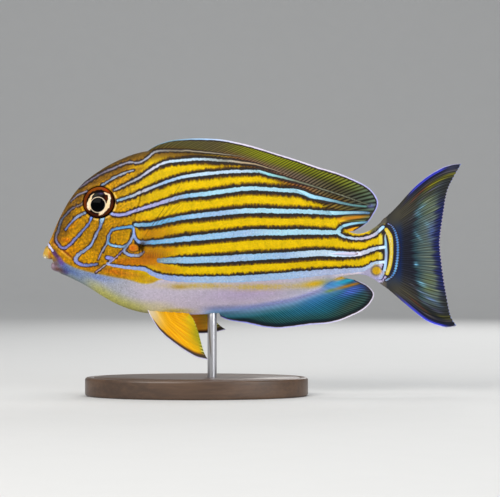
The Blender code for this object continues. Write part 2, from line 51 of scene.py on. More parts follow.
fishSet = {"length": 180.0, "axisHeight": 61.0}
photoSet = {"mmPerPixel": 0.4306, "snout": 43.3, "axis": 254.0, "size": (500, 497)}
pixel = photoSet["mmPerPixel"]


def photo(points):
    spots = np.asarray(points, float)
    back = (spots[:, 0] - photoSet["snout"]) * pixel
    up = (photoSet["axis"] - spots[:, 1]) * pixel
    return np.column_stack([back, up])


def toPhoto(back, up):
    across = np.asarray(back) / pixel + photoSet["snout"]
    down = photoSet["axis"] - np.asarray(up) / pixel
    return across, down


def world(back, out, up):
    back, out, up = np.broadcast_arrays(back, out, up)
    return np.stack([back - fishSet["length"] / 2, out, up + fishSet["axisHeight"]], axis=-1) * mm


def step(low, high, x):
    t = np.clip((np.asarray(x, float) - low) / (high - low), 0.0, 1.0)
    return t * t * (3 - 2 * t)


def band(x, from0, from1, to1, to0):
    # rises from 0 to 1 between the first two, and falls back to 0 between the last two
    return step(from0, from1, x) * step(to0, to1, x)


def smoothCurve(points):
    xs, ys = np.asarray(points, float).T
    before = np.maximum(np.arange(len(xs)) - 1, 0)
    after = np.minimum(np.arange(len(xs)) + 1, len(xs) - 1)
    slopes = (ys[after] - ys[before]) / (xs[after] - xs[before])

    def value(x):
        x = np.clip(x, xs[0], xs[-1])
        k = np.clip(np.searchsorted(xs, x, side="right") - 1, 0, len(xs) - 2)
        wide = xs[k + 1] - xs[k]
        t = (x - xs[k]) / wide
        rise = (1 + 2 * t) * (1 - t) ** 2 * ys[k] + t * t * (3 - 2 * t) * ys[k + 1]
        return rise + wide * (t * (1 - t) ** 2 * slopes[k] + t * t * (t - 1) * slopes[k + 1])

    return value


def alongCurve(points):
    spots = np.asarray(points, float)
    run = np.concatenate([[0.0], np.cumsum(np.linalg.norm(np.diff(spots, axis=0), axis=1))])
    last = len(spots) - 1

    def value(share):
        want = np.clip(share, 0.0, 1.0) * run[-1]
        k = np.clip(np.searchsorted(run, want, side="right") - 1, 0, last - 1)
        t = ((want - run[k]) / (run[k + 1] - run[k]))[..., None]
        p0, p1, p2, p3 = (spots[np.clip(k + d, 0, last)] for d in (-1, 0, 1, 2))
        bend = (2 * p0 - 5 * p1 + 4 * p2 - p3) * t**2 + (3 * p1 - p0 - 3 * p2 + p3) * t**3
        return 0.5 * (2 * p1 + (p2 - p0) * t + bend)

    return value


def linear(colour):
    c = np.asarray(colour, float) / 255.0
    return np.where(c <= 0.04045, c / 12.92, ((np.clip(c, 0, 1) + 0.055) / 1.055) ** 2.4)


def bell(value, middle, width, power=2):
    # 1 at the middle, and next to nothing beyond twice the width
    return np.exp(-(((value - middle) / width) ** power))


def addObject(name, data):
    made = bpy.data.objects.new(name, data)
    bpy.context.scene.collection.objects.link(made)
    return made


# The camera comes first: level, at the fish's left side, with a long lens.
cameraSet = {"lens": 150.0, "sensor": 36.0, "centrePixel": (250.0, 248.5)}


def placeCamera():
    view = photo([cameraSet["centrePixel"]])[0]
    frameWidth = photoSet["size"][0] * pixel * mm
    away = frameWidth * cameraSet["lens"] / cameraSet["sensor"]
    spot = world(view[0], 0.0, view[1])
    data = bpy.data.cameras.new("photoCamera")
    data.lens = cameraSet["lens"]
    data.sensor_width = cameraSet["sensor"]
    data.clip_start = 0.01
    camera = addObject("photoCamera", data)
    camera.location = (spot[0], -away, spot[2])
    camera.rotation_euler = (math.radians(90), 0, 0)
    bpy.context.scene.camera = camera


placeCamera()
print("camera placed")


def newNode(tree, kind, inputs=None, **settings):
    # each input is a value or the output of another node
    made = tree.nodes.new(kind)
    for key, value in settings.items():
        setattr(made, key, value)
    for key, value in (inputs or {}).items():
        if isinstance(value, bpy.types.NodeSocket):
            tree.links.new(value, made.inputs[key])
        else:
            made.inputs[key].default_value = value
    return made


def newMaterial(name, inputs):
    made = bpy.data.materials.new(name)
    made.use_nodes = True
    shader = made.node_tree.nodes["Principled BSDF"]
    for key, value in inputs.items():
        shader.inputs[key].default_value = value
    return made, made.node_tree, shader


def mathNode(tree, operation, first, second):
    return newNode(tree, "ShaderNodeMath", {0: first, 1: second}, operation=operation).outputs[0]


def rampNode(tree, value, low, high, rising=True):
    first, last = (0.0, 1.0) if rising else (1.0, 0.0)
    inputs = {"Value": value, "From Min": low, "From Max": high, "To Min": first, "To Max": last}
    return newNode(tree, "ShaderNodeMapRange", inputs, interpolation_type="SMOOTHSTEP").outputs["Result"]


def mixNode(tree, fac, first, second, blend="MIX"):
    first, second = ((*value, 1.0) if isinstance(value, tuple) else value for value in (first, second))
    inputs = {0: fac, 6: first, 7: second}
    return newNode(tree, "ShaderNodeMix", inputs, data_type="RGBA", blend_type=blend).outputs[2]


def noiseNode(tree, where, scale, detail, rough=0.5, stretch=None):
    if stretch:
        where = newNode(tree, "ShaderNodeMapping", {"Vector": where, "Scale": stretch}).outputs[0]
    inputs = {"Vector": where, "Scale": scale, "Detail": detail, "Roughness": rough}
    return newNode(tree, "ShaderNodeTexNoise", inputs).outputs[0]


def attribute(tree, name, output="Fac"):
    return newNode(tree, "ShaderNodeAttribute", attribute_name=name).outputs[output]


def objectSpace(tree):
    return newNode(tree, "ShaderNodeTexCoord").outputs["Object"]


def contrast(tree, grain, strength):
    # a grain about 0, from minus to plus half the strength
    return mathNode(tree, "MULTIPLY", mathNode(tree, "SUBTRACT", grain, 0.5), strength)


def greyed(tree, colour, shade):
    grey = newNode(tree, "ShaderNodeCombineColor", {0: shade, 1: shade, 2: shade}).outputs[0]
    return mixNode(tree, 1.0, colour, grey, "MULTIPLY")


def finishShader(tree, shader, colour, height, strength, distance):
    tree.links.new(colour, shader.inputs["Base Color"])
    bump = newNode(tree, "ShaderNodeBump", {"Strength": strength, "Distance": distance, "Height": height})
    tree.links.new(bump.outputs[0], shader.inputs["Normal"])


# A pale floor that sweeps up behind, and soft studio lights.
studioSet = {
    "paper": (0.62, 0.62, 0.61),
    "world": (0.92, 0.95, 1.0),
    "worldStrength": 0.40,
    "lights": [
        ("keyLight", (-0.45, -0.75, 0.62), 0.55, 7.0, (1.0, 0.97, 0.93)),
        ("fillLight", (0.60, -0.70, 0.28), 0.60, 3.2, (0.95, 0.97, 1.0)),
        ("topLight", (0.0, 0.10, 0.85), 0.60, 3.1, (1.0, 1.0, 1.0)),
        ("backLight", (0.25, 0.75, 0.45), 0.45, 2.1, (1.0, 1.0, 1.0)),
    ],
    "aim": (0.0, 0.0, 0.06),
    "half": 2.6,  # the paper's half width and its height, in m
    "bendFrom": 1.0,
    "bend": 0.6,
}


def buildStudio():
    half, start, bend = studioSet["half"], studioSet["bendFrom"], studioSet["bend"]
    across = np.linspace(-half, half, 9)
    run = [(-half, 0.0), (start, 0.0)]
    run += [(start + bend * math.sin(a), bend - bend * math.cos(a)) for a in np.linspace(0.1, math.pi / 2, 14)]
    run += [(start + bend, half)]
    points = np.array([(x, y, z) for x in across for y, z in run])
    rows = len(run)
    faces = [
        (i * rows + j, (i + 1) * rows + j, (i + 1) * rows + j + 1, i * rows + j + 1)
        for i in range(len(across) - 1)
        for j in range(rows - 1)
    ]
    mesh = bpy.data.meshes.new("paperSweep")
    mesh.from_pydata(points.tolist(), [], faces)
    mesh.shade_smooth()
    sweep = addObject("paperSweep", mesh)
    paper, tree, shader = newMaterial("palePaper", {"Roughness": 0.9})
    grain = noiseNode(tree, objectSpace(tree), 60.0, 4.0)
    tone = mixNode(tree, grain, tuple(0.97 * c for c in studioSet["paper"]), studioSet["paper"])
    tree.links.new(tone, shader.inputs["Base Color"])
    mesh.materials.append(paper)
    for name, spot, size, power, colour in studioSet["lights"]:
        data = bpy.data.lights.new(name, "AREA")
        data.size = size
        data.energy = power
        data.color = colour
        lamp = addObject(name, data)
        lamp.location = spot
        aim = Vector(studioSet["aim"]) - Vector(spot)
        lamp.rotation_euler = aim.to_track_quat("-Z", "Y").to_euler()
    sky = bpy.data.worlds.new("softRoom")
    sky.use_nodes = True
    background = sky.node_tree.nodes["Background"]
    background.inputs["Color"].default_value = (*studioSet["world"], 1.0)
    background.inputs["Strength"].default_value = studioSet["worldStrength"]
    bpy.context.scene.world = sky
    bpy.context.scene.view_settings.view_transform = "Standard"


buildStudio()
print("studio lit")

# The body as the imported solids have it.
bodySet = {
    "top": [(-1, 0.4), (0.4, 2.3), (1.7, 4), (3.4, 7.2), (6, 13.4), (8.6, 18.7), (11.6, 23.8), (15.1, 28.4),
        (18.5, 31.8), (25.4, 36.7), (32.3, 40.4), (39.1, 43.1), (46, 44.6), (55.5, 45.1), (67.5, 43.4), (80.4, 40.2),
        (93.3, 35.7), (106.2, 29.5), (119.1, 21.9), (124.3, 17.6), (127.7, 13.8), (130.3, 10.8), (132.9, 9.3),
        (136.3, 8.9), (139.3, 9.7), (142.3, 11.4), (144.9, 13.5), (150, 18.5)],
    "bottom": [(-1, -0.6), (1, -3.8), (4, -6.7), (7, -8.3), (11.2, -10.1), (18.5, -13.8), (25.4, -18.2),
        (32.3, -21.9), (39.1, -24.4), (46, -25.7), (63.2, -26.2), (76.1, -25.4), (89, -23.4), (101.9, -20.9),
        (110.5, -18.7), (118.2, -15.7), (123.5, -12.3), (127.5, -10.2), (134.2, -8.9), (138.5, -9.2), (141.5, -10.5),
        (144.9, -12.8), (150, -16.4)],
    "halfWidth": [(-1, 0.6), (0.5, 2.6), (3, 4.2), (7, 5.8), (13, 7.3), (25, 9.2), (38, 10.9), (50, 11.6), (70, 11.2),
        (90, 9.4), (108, 7), (122, 5), (132, 3.9), (138, 3.1), (144.9, 1.6), (150, 1)],
    "widestLevel": 0.46,
    "backFullness": 1.0,
    "bellyFullness": 0.85,
    "gillLine": [(44.6, 52), (43.6, 38.3), (42.1, 24.9), (40.4, 18.1), (39.1, 12), (38.1, 6.9), (35.7, 2.8),
        (30.1, -2.4), (23.2, -7.5), (18.5, -12), (13, -20)],
    "gillRise": 0.5,
    "mouthTop": (1.9, 4.0),
    "mouthBottom": (6.1, -7.6),
    "mouthWay": (0.340, -0.940),  # from its top to its bottom
}
topLine = smoothCurve(bodySet["top"])
bottomLine = smoothCurve(bodySet["bottom"])
halfWidth = smoothCurve(bodySet["halfWidth"])


def section(back, angle):
    top, bottom, half = topLine(back), bottomLine(back), halfWidth(back)
    middle = bottom + bodySet["widestLevel"] * (top - bottom)
    across, up = np.cos(angle), np.sin(angle)
    reach = np.where(up > 0, top - middle, middle - bottom)
    fullness = np.where(up > 0, bodySet["backFullness"], bodySet["bellyFullness"])
    return np.abs(across) ** fullness * half, middle + reach * up


def skinOut(back, up):
    top, bottom = topLine(back), bottomLine(back)
    middle = bottom + bodySet["widestLevel"] * (top - bottom)
    above = up > middle
    reach = np.where(above, top - middle, middle - bottom)
    fullness = np.where(above, bodySet["backFullness"], bodySet["bellyFullness"])
    share = np.clip(np.abs(up - middle) / reach, 0, 1)
    return halfWidth(back) * np.sqrt(1 - share**2) ** fullness


def asSeen(back, up):
    # the flank is nearer to the camera than the midplane is, so the photograph shows it a little larger
    centre = photo([cameraSet["centrePixel"]])[0]
    away = photoSet["size"][0] * pixel * cameraSet["lens"] / cameraSet["sensor"]
    grow = 1 / (1 - skinOut(back, up) / away)
    return centre[0] + (back - centre[0]) * grow, centre[1] + (up - centre[1]) * grow


def nearPath(path, back, up, reach, visit):
    low, high = path.min(0) - reach, path.max(0) + reach
    near = np.nonzero((back > low[0]) & (back < high[0]) & (up > low[1]) & (up < high[1]))[0]
    if not len(near):
        return
    b, u = back[near], up[near]
    lengths = np.linalg.norm(np.diff(path, axis=0), axis=1)
    run = np.concatenate([[0.0], np.cumsum(lengths)])
    for k, (start, end) in enumerate(zip(path[:-1], path[1:])):
        least, most = np.minimum(start, end) - reach, np.maximum(start, end) + reach
        picked = np.nonzero((b > least[0]) & (b < most[0]) & (u > least[1]) & (u < most[1]))[0]
        if not len(picked):
            continue
        way = (end - start) / max(lengths[k], 1e-9)
        db, du = b[picked] - start[0], u[picked] - start[1]
        t = np.clip(db * way[0] + du * way[1], 0, lengths[k])
        away = np.hypot(db - way[0] * t, du - way[1] * t)
        side = way[0] * du - way[1] * db
        visit(near[picked], away, (run[k] + t) / run[-1], side)


gillPath = alongCurve(bodySet["gillLine"])(np.linspace(0, 1, 60))


def gillDistance(back, up):
    best = np.full(back.shape, 50.0)
    sign = np.where(back > np.interp(up, gillPath[::-1, 1], gillPath[::-1, 0]), 1.0, -1.0)

    def visit(where, away, _share, _side):
        best[where] = np.minimum(best[where], away)

    nearPath(gillPath, back, up, 4.0, visit)
    return best * sign  # behind the gill cover's edge is positive


# The markings: every pale line as it runs in the photograph, with its widths in pixels, its colours from front
# to rear, and the widths of its dark edges, in pixels too. A list is spread along the line. A last number says
# how much of the dark edge there is on the line's lower side.
shades = {
    "sky": (160, 212, 250), "pale": (206, 234, 255), "lilac": (186, 184, 232), "white": (224, 222, 240),
    "cyan": (104, 190, 242), "deep": (116, 152, 240), "peri": (146, 150, 232), "ice": (184, 236, 255),
    "rose": (206, 168, 190), "mint": (140, 206, 214), "sand": (176, 154, 124), "dusk": (128, 104, 80),
    "teal": (84, 130, 124), "lavender": (160, 164, 232), "haze": (168, 205, 244), "paleHaze": (190, 204, 240),
    "mist": (176, 184, 178), "slate": (126, 142, 196), "grey": (150, 150, 176), "frost": (220, 212, 232),
    "steel": (118, 152, 168), "ink": (96, 98, 206), "moss": (120, 124, 102), "fern": (80, 88, 68),
    "azure": (128, 184, 240), "straw": (216, 188, 44),
    # duller paints, for the head and the root of the tail
    "smoke": (118, 108, 126), "ash": (158, 152, 168), "dove": (178, 182, 200), "pearl": (208, 206, 214),
    "stone": (172, 180, 196), "drab": (92, 98, 118), "storm": (154, 168, 204), "pewter": (128, 150, 182),
    "denim": (120, 134, 192), "bluebell": (136, 134, 198), "brook": (140, 186, 218), "harbour": (100, 168, 218),
    "lake": (158, 182, 240), "dusty": (182, 166, 186), "husk": (148, 138, 118), "ocean": (62, 118, 184),
    "surf": (144, 200, 218), "wave": (148, 204, 232), "bay": (122, 182, 206), "night": (72, 108, 142),
    "river": (92, 134, 146),
}
stripes = [
    ([(80.2, 187), (98.6, 175), (114.5, 167.8), (128.9, 162.3), (139.3, 162.7), (148, 157.5), (157.6, 151.1),
     (183, 150.8), (191.6, 151), (224.8, 154.2), (244.4, 156.8)], [1.2, 1.5, 1.7, 1.7, 1.4, 1, 0.7],
     "smoke smoke ash dove husk husk husk moss", [1.3, 1.4, 1.4, 1, 0.5]),
    ([(114.5, 190.2), (128.9, 183), (140, 177.4), (151.2, 169.4), (164.8, 162.6), (181.4, 160.4), (199.3, 159.2),
     (222.2, 160.4), (241.5, 162.4), (255.3, 164.2), (270.2, 168.6), (287.4, 174)],
     [1.5, 2.1, 2.3, 2.5, 2.2, 1.1, 0.8], "dove dove white pale pale mist sand sand sand", [1.6, 2.6, 3.4, 2.2, 0.6]),
    ([(117.7, 200.5), (132.1, 195.9), (144.8, 190.3), (167.2, 181.6), (183.1, 176.9), (205.4, 173.9), (229.4, 171.7),
     (254.7, 171.2), (262.1, 172.3), (273.6, 175.4), (281.7, 177.2), (296, 180.9), (307.5, 184.4), (320, 188.4),
     (335, 193.2), (350, 198.2), (361, 202.2), (370, 205)], [2.3, 2.5, 2.8, 3.2, 3.2, 2.4, 1.9, 1.7, 1.6, 1.4],
     "brook pearl haze pale pale pale mint moss moss moss fern", [1.6, 2.8, 3.4, 3.3, 2, 1.6, 1.2]),
    ([(112.1, 214.1), (118, 215), (125.7, 214), (138.5, 209.6), (150, 206.1), (165, 201.5), (180, 197.2),
     (192, 195.3), (205, 193.9), (217, 192.2), (230, 190.4), (242, 188.9), (255, 188.4), (268, 189.1), (281.7, 190.1),
     (298.9, 191.5), (311.5, 196.3), (323, 198.6), (334.4, 201.2), (345.9, 203.9), (357.4, 205.8), (366, 206.6)],
     [2.8, 3.1, 3.6, 4.2, 4.2, 3.8, 3.8, 3, 2.2], "lavender lilac lilac sky ice ice ice ice wave river teal",
     [1.4, 1.9, 3.4, 3.7, 3.7, 2.7, 1]),
    ([(135.3, 224.9), (148, 224.7), (162.4, 221.9), (180, 218), (192, 216.4), (205, 215), (217, 213.6), (230, 212.1),
     (242, 211), (255, 210.5), (267, 210.7), (280, 211.2), (300, 211.4), (314, 211.9), (328.7, 212.9), (345.9, 212.8),
     (357.4, 212.5), (368.8, 212.8)], [3.5, 4, 4.6, 4.7, 4.8, 4.5, 4.2, 3.8, 3],
     "brook cyan sky haze ice ice ice surf night", [2.2, 3.2, 3.9, 3.9, 3.8, 2.9, 1.3]),
    ([(134, 229.5), (133.6, 234.5), (136.5, 240), (141.6, 242.6), (157.6, 242), (173.5, 240.2), (192, 238.3),
     (205, 237.1), (217, 236), (230, 234.7), (245, 233.2), (256, 232.5), (268, 232.3), (280, 232.6), (300, 232),
     (317.2, 232.2), (334.4, 232.5), (339, 231.5)], [2.2, 4.2, 5.1, 6, 6.6, 5.8, 5, 4],
     "lavender cyan sky sky haze ice ice ice", [1, 2.4, 3.9, 3.6, 3.7, 4.1, 3.6, 3]),
    ([(337, 231.6), (340, 228.2), (343, 226), (351.7, 223.8), (360, 222.6), (367.6, 222)], [3.2, 2.8, 2.6, 2],
     "ice surf wave bay night", [2.4, 2.2, 1.1]),
    ([(337, 232), (341, 235.2), (345.7, 237), (354.6, 238.6), (364.2, 238.2), (371.4, 236.2), (377.6, 232),
     (383, 227)], [3.2, 2.4, 2.4, 2.8, 3], "ice pale frost frost sky", [2.4, 2.2, 1.8, 1.2]),
    ([(159.4, 260.6), (181.5, 260.3), (205.4, 259.7), (222, 259), (240, 257.9), (255, 256.9), (267, 256.4),
     (280, 255.8), (293, 254.9), (305, 254), (320.4, 253), (336.4, 253.8), (350, 254.2), (360.5, 253.7),
     (367.4, 251.4), (375, 248.6), (385, 247)], [4.8, 6.2, 6.6, 6.6, 6.2, 6.2, 6, 6, 4.2, 2.8],
     "steel sky sky haze sky haze pale pale white pale", [0.2, 2.8, 3.3, 3.7, 3.7, 3.9, 3.6, 2.6, 1.5]),
    ([(107.2, 263.6), (112.1, 265.4), (128.9, 267.7), (144.8, 269.5), (154.4, 274.6), (173.5, 278.4), (205.4, 279.5),
     (240, 278.9), (266.8, 277.2), (293.6, 275.2), (320.4, 272.8), (347.1, 270.7), (362.5, 269.6), (368.6, 266.6),
     (374, 263.4), (384, 262)], [2.2, 3.4, 5.2, 6, 6.6, 6.6, 6.6, 6.2, 4.6, 2.4],
     "lake lake lake haze haze haze haze paleHaze paleHaze pale", [1, 1.8, 2.3, 2.8, 2.8, 2.6, 1.4], 0.1),
    # the head
    ([(101.8, 185.4), (112.9, 178.2), (125.7, 172.6), (133.3, 170.2)], [1.5, 1.8, 1.4], "pewter stone stone", [1.2]),
    ([(71, 201), (78.6, 194.5), (87.2, 191.2)], [1.3, 1.8, 1.3], "smoke ash", [0.9]),
    ([(83.5, 202.5), (80, 205), (72, 208.6), (66.6, 214), (61.2, 220.5), (58.2, 230.3), (55.8, 239), (58.5, 244.6),
     (61.8, 247.8), (66, 247.5), (70.2, 244.6), (75.9, 238), (84.3, 229), (89.9, 222), (91.3, 217.4)],
     [1.7, 1.4, 1.5, 1.9, 2, 2, 2.2, 2.2, 2, 2], "dusk smoke drab drab smoke bluebell bluebell denim denim deep",
     [0.95]),
    ([(85, 212.8), (78, 216.3), (71.7, 222), (65.4, 229.6)], [2.4, 2, 1.4], "pewter storm denim denim", [0.95]),
    ([(102.5, 218.4), (100.8, 225), (97.5, 232), (94, 238.6), (90.6, 245.8), (84.3, 250.7), (78.7, 254.2),
     (75.2, 259.1), (78.7, 264), (87.1, 265.4), (96.9, 264)], [4.2, 2.4, 1.9, 2, 2.2, 2.7, 3.6, 2.8, 2.4, 1.8],
     "brook denim storm lake storm storm peri denim denim", [0.95]),
    ([(108.2, 235.3), (106.8, 243.7), (102.5, 250.7), (98.3, 259.1)], [1.3, 1.5, 1.6], "storm storm ash dusty", [1]),
    ([(110, 233), (111.4, 230.6), (115.4, 228.9), (124.1, 227.5), (131.8, 226.5), (133.6, 229.6), (133, 235.6),
     (129.5, 242.3), (125.1, 246.6), (117.6, 246.2), (109.9, 244.6), (107.9, 241.8), (108.9, 236.8), (110, 233)],
     [2, 2.4, 2.4, 2.2, 2.2, 2.3, 2.3, 2], "denim harbour harbour azure storm pewter sky harbour denim", [0.95]),
    ([(133, 236), (131, 241), (125.5, 247.6), (123.8, 250.6), (126.4, 253.9), (132.8, 255.4), (139.3, 255),
     (143.4, 251.6)], [2, 2, 2.3, 2.8, 2.6, 2], "storm storm pewter storm lake stone dusty", [1, 1, 0.6]),
    ([(107.2, 257.6), (112.4, 258.3), (110.6, 261.4)], [3.2, 2.6], "peri lavender", [0.8]),
    ([(96, 272), (103, 266.8), (112, 260.6), (119, 254.3), (124, 249.4)], [0.8, 1.2, 1.2, 0.8],
     "rose white rose peri", [1]),
    ([(106, 211.5), (110.5, 213.4), (113.5, 214.4)], [1.8, 2.4, 2.6], "cyan lavender", [0.8]),
    ([(47.6, 243.4), (50.2, 247.2), (52.8, 250.8)], [1.8, 2.6, 1.8], "lilac frost lilac", [0.9, 0.6]),
    # the bars at the root of the tail fin
    ([(384.8, 234.5), (385.8, 243), (386.2, 256), (385.2, 266), (384.4, 270)], [1.2, 2.2, 2.6, 2.6, 2.6],
     "stone brook brook storm haze haze", [1.5]),
    ([(384.9, 267), (383.4, 273), (380.8, 278.2), (376.5, 278.6)], [2.2, 2, 2.8, 2.2], "sky storm storm lilac",
     [1.3, 1.2, 0.4], 0),
    ([(386.2, 229.6), (389.5, 235), (391.2, 243.5), (391.3, 256), (389.7, 266), (387.2, 273.6)],
     [3.4, 4.6, 3.6, 3.4, 3.6, 3.4], "straw", [1.5]),
    ([(388.2, 223.8), (391.4, 225.6), (395.2, 231.5), (397.6, 242), (397.9, 254), (396.5, 265.5), (394.4, 272.6),
     (390.6, 277.8), (385.6, 280.6)], [1.4, 2.6, 3, 3, 3, 2.8, 1.6],
     "denim ocean ocean ocean ocean harbour ocean pewter", [0.9, 1.4, 1.4, 0.9]),
]
edgeBelow = 1.2  # a dark edge is so much wider on the lower side of its line
noLine = 9.0  # the gap where no pale line is near, in mm
eyePlace = {"at": (24.5, 22.15), "radius": 7.1, "depth": 3.1, "sunk": 1.4, "tiltUp": 11.0, "tiltForward": 8.0}
# the folding blade at each side of the tail lies in a groove
bladeSet = {"at": (129.3, 0.1), "radii": (6.2, 0.75, 0.95), "turn": 6.5, "bone": (206, 200, 226),
            "tip": (236, 232, 244)}
nostrils = [((13.2, 22.0), 0.60, 1.1), ((15.5, 21.3), 0.48, 0.9)]  # where, their radius, and the bare skin there


def fromBlade(back, up, along, across):
    # 1 on an oval round the folding blade
    return np.hypot((back - bladeSet["at"][0]) / along, (up - bladeSet["at"][1]) / across)


def spread(values, share):
    values = np.asarray(values, float)
    if len(values) == 1:
        return np.repeat(values, len(share), axis=0)
    place = share * (len(values) - 1)
    low = np.clip(place.astype(int), 0, len(values) - 2)
    part = place - low
    if values.ndim == 2:
        part = part[:, None]
    return values[low] * (1 - part) + values[low + 1] * part


def pathLength(path):
    return np.linalg.norm(np.diff(path, axis=0), axis=1).sum()


def mottle(back, up, size):
    # soft blotches about so many millimetres across, from -1 to 1
    b, u = back / size, up / size
    first = np.sin(2.9 * b + 2.3 * np.sin(1.3 * u + 0.4)) * np.sin(3.3 * u + 1.9 * np.sin(1.7 * b))
    second = np.sin(5.3 * b - 2.9 * u + 1.6 * np.sin(2.1 * u)) * np.sin(4.7 * u + 3.7 * b)
    return 0.6 * first + 0.4 * second


def markings(back, up, more=()):
    back, up = asSeen(back, up)
    along = 0.10 * mottle(up, back, 4.1)
    back, up = back + 0.5 * along, up + along + 0.05 * mottle(back, up, 1.6)
    gap = np.full(back.shape, noLine)  # from the edge of the nearest pale line, and below 0 inside it
    edge = np.zeros(back.shape)
    tint = plain(linear(shades["sky"]), back)
    for rough, wide, names, edges, *below in [(photo(path), *rest) for path, *rest in stripes] + list(more):
        path = alongCurve(rough)(np.linspace(0, 1, max(int(pathLength(rough) / 1.3), 4)))
        tints = [linear(shades[name]) for name in names.split()]

        def visit(where, away, share, side):
            half = spread(wide, share) * pixel / 2
            nearer = away - half < gap[where]
            where, share, side = where[nearer], share[nearer], side[nearer]
            gap[where] = (away - half)[nearer]
            fainter = np.where(side < 0, below[0] if below else edgeBelow, 1.0)
            edge[where] = spread(edges, share) * fainter * pixel
            tint[where] = spread(tints, share)

        nearPath(path, back, up, 3.4, visit)
    return gap, edge, tint


def lay(base, colour, mask):
    mask = np.asarray(mask)[..., None]
    return base * (1 - mask) + np.asarray(colour, float) * mask


def plain(colour, points):
    return np.tile(np.asarray(colour, float), (len(points), 1))


def spot(x, y, at, radii, turn=0.0):
    c, s = math.cos(math.radians(turn)), math.sin(math.radians(turn))
    dx, dy = x - at[0], y - at[1]
    return np.exp(-(((dx * c + dy * s) / radii[0]) ** 2) - ((dy * c - dx * s) / radii[1]) ** 2)


def dabs(c, x, y, rows):
    # a row is a colour, where it lies, its radii, its turn in degrees, and how much of it
    for colour, at, radii, turn, much in rows:
        c = lay(c, colour, spot(x, y, at, radii, turn) * much)
    return c


groundSet = {
    "flank": (248, 210, 0), "foreFlank": (240, 202, 4), "head": (196, 140, 6), "nape": (124, 86, 24),
    "hot": (236, 116, 14), "amber": (206, 140, 12), "belly": (214, 204, 220), "bellyPink": (198, 178, 212),
    "chin": (140, 158, 184), "breast": (202, 198, 106), "throat": (176, 182, 190),
    "rearBlue": (44, 116, 190), "faintYellow": (216, 190, 104), "gold": (246, 196, 20), "dark": (44, 42, 44),
    "hotSpots": [((133.5, 247.5), (5, 3.6), 0, 1), ((66, 240), (5, 2.4), 0, 0.6), ((72, 226), (8, 3), -50, 0.22),
        ((90, 268), (7, 2), 5, 0.3)],
    "bellyLine": [(40, 262), (60, 261), (68, 264.5), (76, 268), (88, 271.5), (104, 275), (118, 277.8), (130, 280),
        (142, 283.4), (152, 283), (160, 279.5), (170, 279.4), (205, 280.6), (240, 280), (267, 278.2), (294, 276),
        (320, 274), (347, 272), (364, 270), (390, 268)],
    # pixels below this line, and the colour there, from the lilac belly to the teal fin
    "tealLine": [(190, 316), (210, 315), (226, 314.3), (242, 313.6), (250, 313), (258, 312), (266, 310.6),
        (274, 309.4), (282, 308), (290, 306.6), (298, 304.6), (306, 302), (314, 299.4), (322, 296.8), (330, 294),
        (338, 291), (346, 288), (360, 283)],
    "tealRun": [(-10, (176, 168, 202)), (-6, (152, 160, 206)), (-3.5, (132, 164, 206)), (-1.5, (106, 150, 182)),
        (0, (80, 128, 150)), (3.5, (40, 106, 122)), (6.5, (26, 92, 102))],
}
bellyLine = smoothCurve(groundSet["bellyLine"])
tealLine = smoothCurve(groundSet["tealLine"])


streakDabs = [
    ((84, 146, 216), (331, 284.5), (9, 5.4), 0, 0.8),
    ((40, 168, 206), (348, 280.6), (13, 2.2), -15, 0.95),
    ((232, 182, 50), (342, 277.8), (8, 1.4), -12, 0.9),
]


def rearStreaks(c, x, y):
    # blue, cyan and yellow where the anal fin leaves the belly
    return dabs(c, x, y, streakDabs)


headDabs = [
    ((214, 168, 12), (130, 199), (20, 12), -18, 0.8),
    ((226, 192, 20), (148, 187), (18, 8), -25, 0.8),
    ((226, 148, 0), (73, 251), (11, 8), 20, 0.85),
    ((232, 168, 4), (89, 257.5), (8, 5), 10, 0.9),
    ((150, 104, 24), (98, 236), (9, 13), 20, 0.5),
    ((104, 72, 20), (66, 233), (4, 3), -40, 0.6),
    ((156, 104, 26), (139, 170), (7, 3), -35, 0.6),
    ((112, 78, 30), (120, 173), (8, 3), -28, 0.5),
]
gillDabs = [
    ((250, 168, 8), (169, 249), (7, 3), 0, 0.6),
    ((250, 168, 8), (148, 233), (4, 3), 0, 0.5),
    ((244, 176, 6), (171, 269), (8, 3), 0, 0.6),
    ((206, 100, 16), (149, 258), (12, 5.5), 0, 0.85),
    ((240, 146, 0), (134, 260.5), (6, 2.6), 0, 0.6),
]
cheekDabs = [
    ((214, 140, 18), (162, 267), (14, 5), 20, 0.7),
    ((206, 142, 34), (124, 273.5), (24, 3), 9, 0.9),
    ((214, 168, 50), (150, 281), (9, 2.4), 8, 0.9),
    ((138, 104, 56), (101, 267), (7, 2.6), 20, 0.7),
    ((212, 116, 12), (114, 271.6), (10, 2.4), 12, 0.8),
]
bellyDabs = [
    ((228, 216, 204), (156, 309), (13, 6), 0, 0.7),
    ((206, 186, 60), (177, 310.8), (13, 2.2), 0, 0.8),
    ((198, 160, 60), (180, 287), (7, 2), 0, 0.8),
]
lipDabs = [
    ((168, 72, 30), (55.5, 241.5), (3.2, 3.6), 0, 0.6),
    ((120, 92, 58), (54.2, 260.2), (3, 3.4), 0, 0.95),
    ((102, 72, 76), (56, 264), (3, 3.2), 0, 0.9),
    ((98, 60, 58), (60.5, 270), (4.6, 2.8), 30, 0.9),
    ((74, 62, 116), (65.5, 271.5), (3.4, 2.6), 30, 0.8),
    ((92, 118, 178), (72, 271.5), (9, 2.6), 24, 0.7),
]


